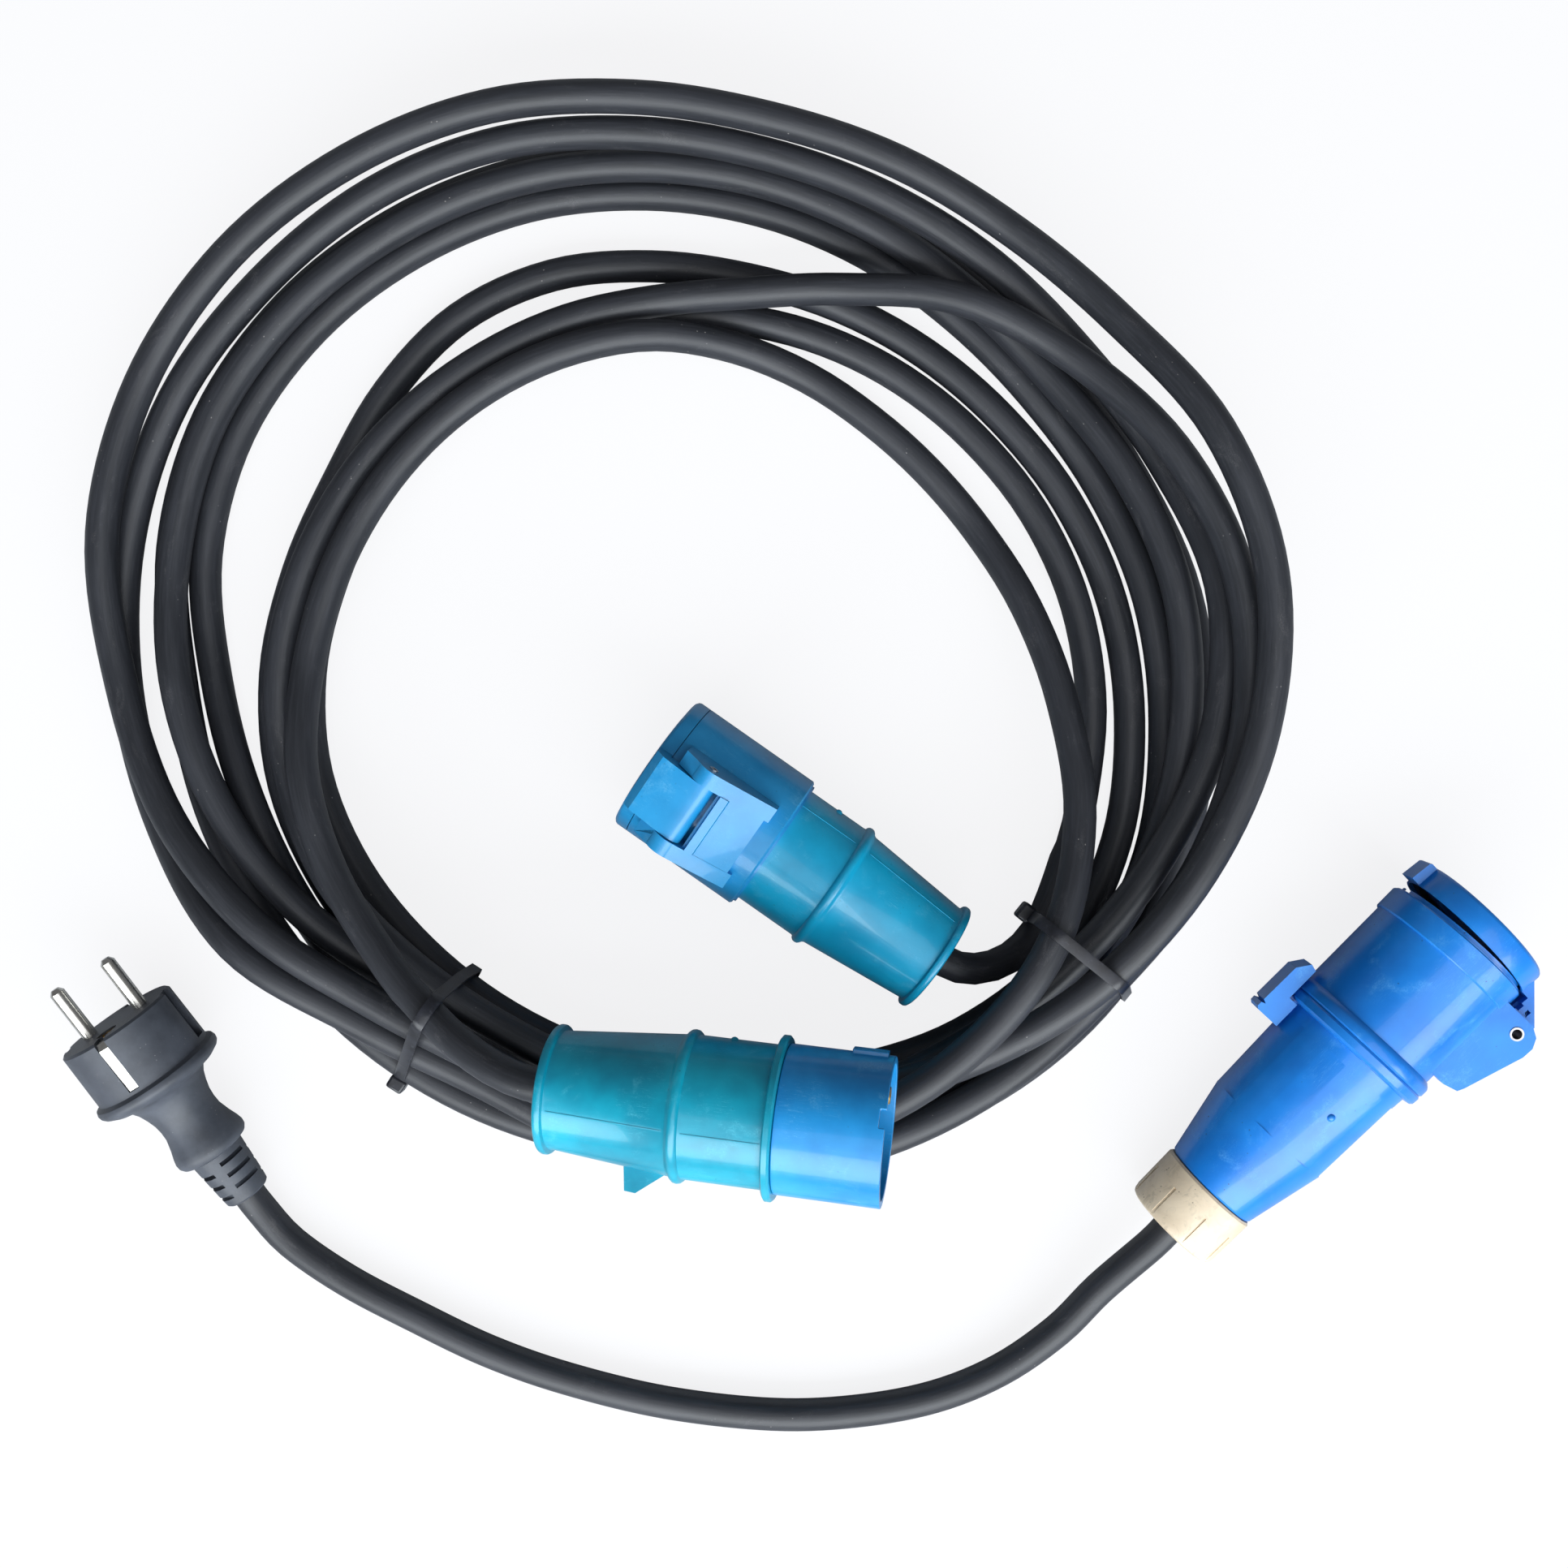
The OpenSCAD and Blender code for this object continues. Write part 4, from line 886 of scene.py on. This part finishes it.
cheek = [
    (95, 15), (94.6, 23.6), (95.9, 28.2), (98, 29.2), (117.4, 35.2), (121.4, 35.4), (124.6, 33.8),
    (126.6, 30.4), (126.9, 15),
]
front = fuse(
    sleeve(86.7, 87.9, ADAPTER_MOUTH, BORE_R),
    spun([
        (86.7, 22.5), (86.7, 25.3), (87.3, 25.8), (89.7, 25.8), (90.6, 25.3), (91.5, 24.4), (91.9, 23.5),
        (91.9, 22.5),
    ], 128),
    cut(
        spun([(123.2, 23.5), (123.5, 24.5), (123.9, 24.8), (131.2, 24.8), (131.6, 24.4), (131.6, 23.5)], 128),
        block((119, -EAR_IN - 0.1, 15), (133, EAR_IN + 0.1, 27)),
    ),
    ear(1, ADAPTER_HX, cheek, 5.0, 2.2),
    ear(-1, ADAPTER_HX, cheek, 5.0, 2.2),
    bridge([(98, 19), (98, 25.2), (108, 26.6), (115.2, 28.4), (115.2, 19)]),
)
adapter_front = dress(soften(front, 0.35), "adapter_sleeve", ADAPTER, ADAPTER_BLUE, ["adapter_front_body"])
x0 = ADAPTER_MOUTH
finger_tab = slab(-5, 5, [
    (x0 + 0.4, -23.4), (x0 + 8, -23.4), (x0 + 8, -25.6), (x0 + 7.4, -26.2), (x0 + 0.4, -26.6)
])
adapter_cap = lid(x0, ADAPTER_HX, 3.2, [(6.6, 18), (5.4, 21.8), (-4.6, 33.2)], 2.2)
for y in (6.6, -11.6):
    lower = block((x0 - 4.6, y, 22.6), (x0 - 2.2, y + 5, 25.6))
    upper = block((x0 - 4.4, y, 27.4), (x0 - 2.2, y + 5, 28.8))
    adapter_cap = cut(adapter_cap, lower, upper)
adapter_cap = soften(swung(fuse(adapter_cap, finger_tab), ADAPTER_HX, ADAPTER_OPEN), 0.4)
adapter_cap = dress(adapter_cap, "adapter_cap", ADAPTER, ADAPTER_BLUE, ["adapter_lid"], "adapter_lid")


# ---- mains plug ----
FACE_R = 19.3
PIN_GAP = 19.0
body = spun([
    (0, 0), (0, FACE_R - 0.8), (-0.8, FACE_R), (-20.2, FACE_R + 0.3), (-20.7, 20.2), (-21.2, 21.2),
    (-22.4, 21.6), (-23.6, 21.4), (-24.6, 20.6), (-26, 18.2), (-26.8, 15.4), (-27.8, 13.5), (-30, 12.1),
    (-33, 11), (-36, 10.2), (-39, 9.9), (-42, 10), (-46, 11), (-49, 12), (-51, 12.45), (-52.6, 12.3),
    (-53.8, 11.5), (-54.4, 10.2), (-54.8, 8.9), (-70, 7.8), (-72.4, 7.5), (RELIEF_END, 6.9),
    (RELIEF_END, CABLE_R + 0.05), (-56, CABLE_R + 0.05), (-56, 6.6), (-40, 6.6), (-24, 13.8), (-19, 13.8),
    (-19, 0),
], 128)
tools = [moved(bar(-20, 1, 2.22), Matrix.Translation((0, y, 0))) for y in (-PIN_GAP / 2, PIN_GAP / 2)]
for side in (1, -1):
    y = side * (FACE_R + 0.6)
    tools.append(block((-18.5, y - 2.6, -2.7), (1.5, y + 2.6, 2.7)))
    low, high = sorted((side * (FACE_R - 1.3), side * (FACE_R + 2.7)))
    tools.append(block((-19, -1.75, low), (1, 1.75, high)))
    low, high = sorted((side * 13.4, side * 21.4))
    tools.append(block((-1.6, -1.75, low), (2.4, 1.75, high)))
tools.append(moved(bar(-20, 1, 3.42), Matrix.Translation((0, 0, 10))))
for k in range(3):
    for s in (0, 1):
        x = -58.4 - 4.6 * k - 2.3 * s
        tools.append(rolled(block((x, -4.6, 6.3), (x + 1.5, 4.6, 11.3)), 90 * s + 45))
        tools.append(rolled(block((x, -4.6, -11.3), (x + 1.5, 4.6, -6.3)), 90 * s + 45))
mains_body = dress(soften(cut(body, *tools), 0.3, 30), "mains_body", MAINS, RUBBER, ["mains_plug_body"])


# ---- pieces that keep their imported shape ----
KEPT = {
    NICKEL: ["mains_plug_live_pin", "mains_plug_neutral_pin", "mains_plug_earth_clips"],
    STEEL: [
        "socket_hinge_pin", "adapter_hinge_pin", "socket_lid_spring", "adapter_lid_spring",
        "plug_clamp_screws", "socket_clamp_screws", "plug_terminal_screws", "socket_terminal_screws",
        "adapter_terminal_screws",
    ],
    BRASS: [
        "plug_live_pin", "plug_neutral_pin", "plug_earth_pin", "socket_live_contact",
        "socket_neutral_contact", "socket_earth_contact", "adapter_live_contact", "adapter_neutral_contact",
        "adapter_earth_contact", "mains_plug_earth_socket",
    ],
    CARRIER: [
        "plug_pin_carrier", "socket_contact_carrier", "socket_terminal_base", "adapter_contact_carrier",
        "adapter_terminal_base", "plug_cable_clamp", "socket_cable_clamp",
    ],
    SEAL: [
        "socket_lid_gasket", "adapter_lid_gasket", "plug_cable_seal", "socket_cable_seal",
        "adapter_gland_sleeve",
    ],
    BRIDGE: ["mains_plug_pin_bridge"],
    CORES: ["plug_core_wires", "socket_core_wires", "adapter_core_wires", "mains_plug_core_wires"],
}
for finish, names in KEPT.items():
    for name in names:
        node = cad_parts[name]
        node.data.materials.clear()
        node.data.materials.append(finish.material)
        node.data.polygons.foreach_set("use_smooth", [False] * len(node.data.polygons))

plug_pieces = [plug_rear_shell, plug_shroud]
plug_pieces += [n for name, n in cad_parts.items() if name.startswith("plug_")]
adapter_pieces = [gland_nut, adapter_grip, adapter_front, latch_tab, adapter_cap]
adapter_pieces += [n for name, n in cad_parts.items() if name.startswith("adapter_")]


tuple((turns[0] + TABLE) * MM)
tuple((relief + TABLE) * MM)


# ---- camera, floor and light ----
SENSOR = 36.0
FOCAL_PIXELS, FRAME_PIXELS = 1900, 1932
CAMERA_HEIGHT = 0.528
GLOW_SHARE = 0.72  # how much of the floor that the camera sees is its own glow

view = bpy.data.cameras.new("camera")
view.sensor_width, view.lens = SENSOR, SENSOR * FOCAL_PIXELS / FRAME_PIXELS
view.clip_start, view.clip_end = 0.01, 20.0
camera = placed("camera", view)
camera.location = (TABLE.x * MM, TABLE.y * MM, CAMERA_HEIGHT)
bpy.context.scene.camera = camera

bm = bmesh.new()
bmesh.ops.create_grid(bm, x_segments=1, y_segments=1, size=6.0)
floor_mesh = bpy.data.meshes.new("floor")
bm.to_mesh(floor_mesh)
bm.free()
floor = placed("floor", floor_mesh)

paper = Finish("floor paper", None)
path = paper.node("LightPath", out="Is Camera Ray")
plain = paper.node("BsdfDiffuse", None, {"Color": (0.42, 0.43, 0.45, 1)})
glow = paper.node("Emission", None, {"Color": (0.99, 0.99, 1.0, 1), "Strength": 1.2})
paper.node_output(paper.node("MixShader", None, {0: path * GLOW_SHARE, 1: plain, 2: glow}))
floor_mesh.materials.append(paper.material)

world = bpy.data.worlds.new("world")
world.use_nodes = True
sky = world.node_tree.nodes["Background"]
sky.inputs["Color"].default_value = (0.93, 0.95, 1.0, 1)
sky.inputs["Strength"].default_value = 0.16
bpy.context.scene.world = world


def softbox(name, place, aim, width, height, watts, tint=(1, 1, 1)):
    lamp = bpy.data.lights.new(name, "AREA")
    lamp.shape, lamp.size, lamp.size_y = "RECTANGLE", width, height
    lamp.energy, lamp.color = watts, tint
    made = placed(name, lamp)
    made.location = place
    made.rotation_euler = (Vector(aim) - Vector(place)).to_track_quat("-Z", "Y").to_euler()


softbox("window", (0.1, -1.2, 0.98), (0, 0, 0.05), 3.0, 1.1, 60, (0.92, 0.97, 1.0))
softbox("ceiling", (0.2, -0.4, 1.6), (0, 0, 0), 1.5, 1.2, 9, (0.96, 0.98, 1.0))

bpy.context.scene.view_settings.view_transform = "Standard"
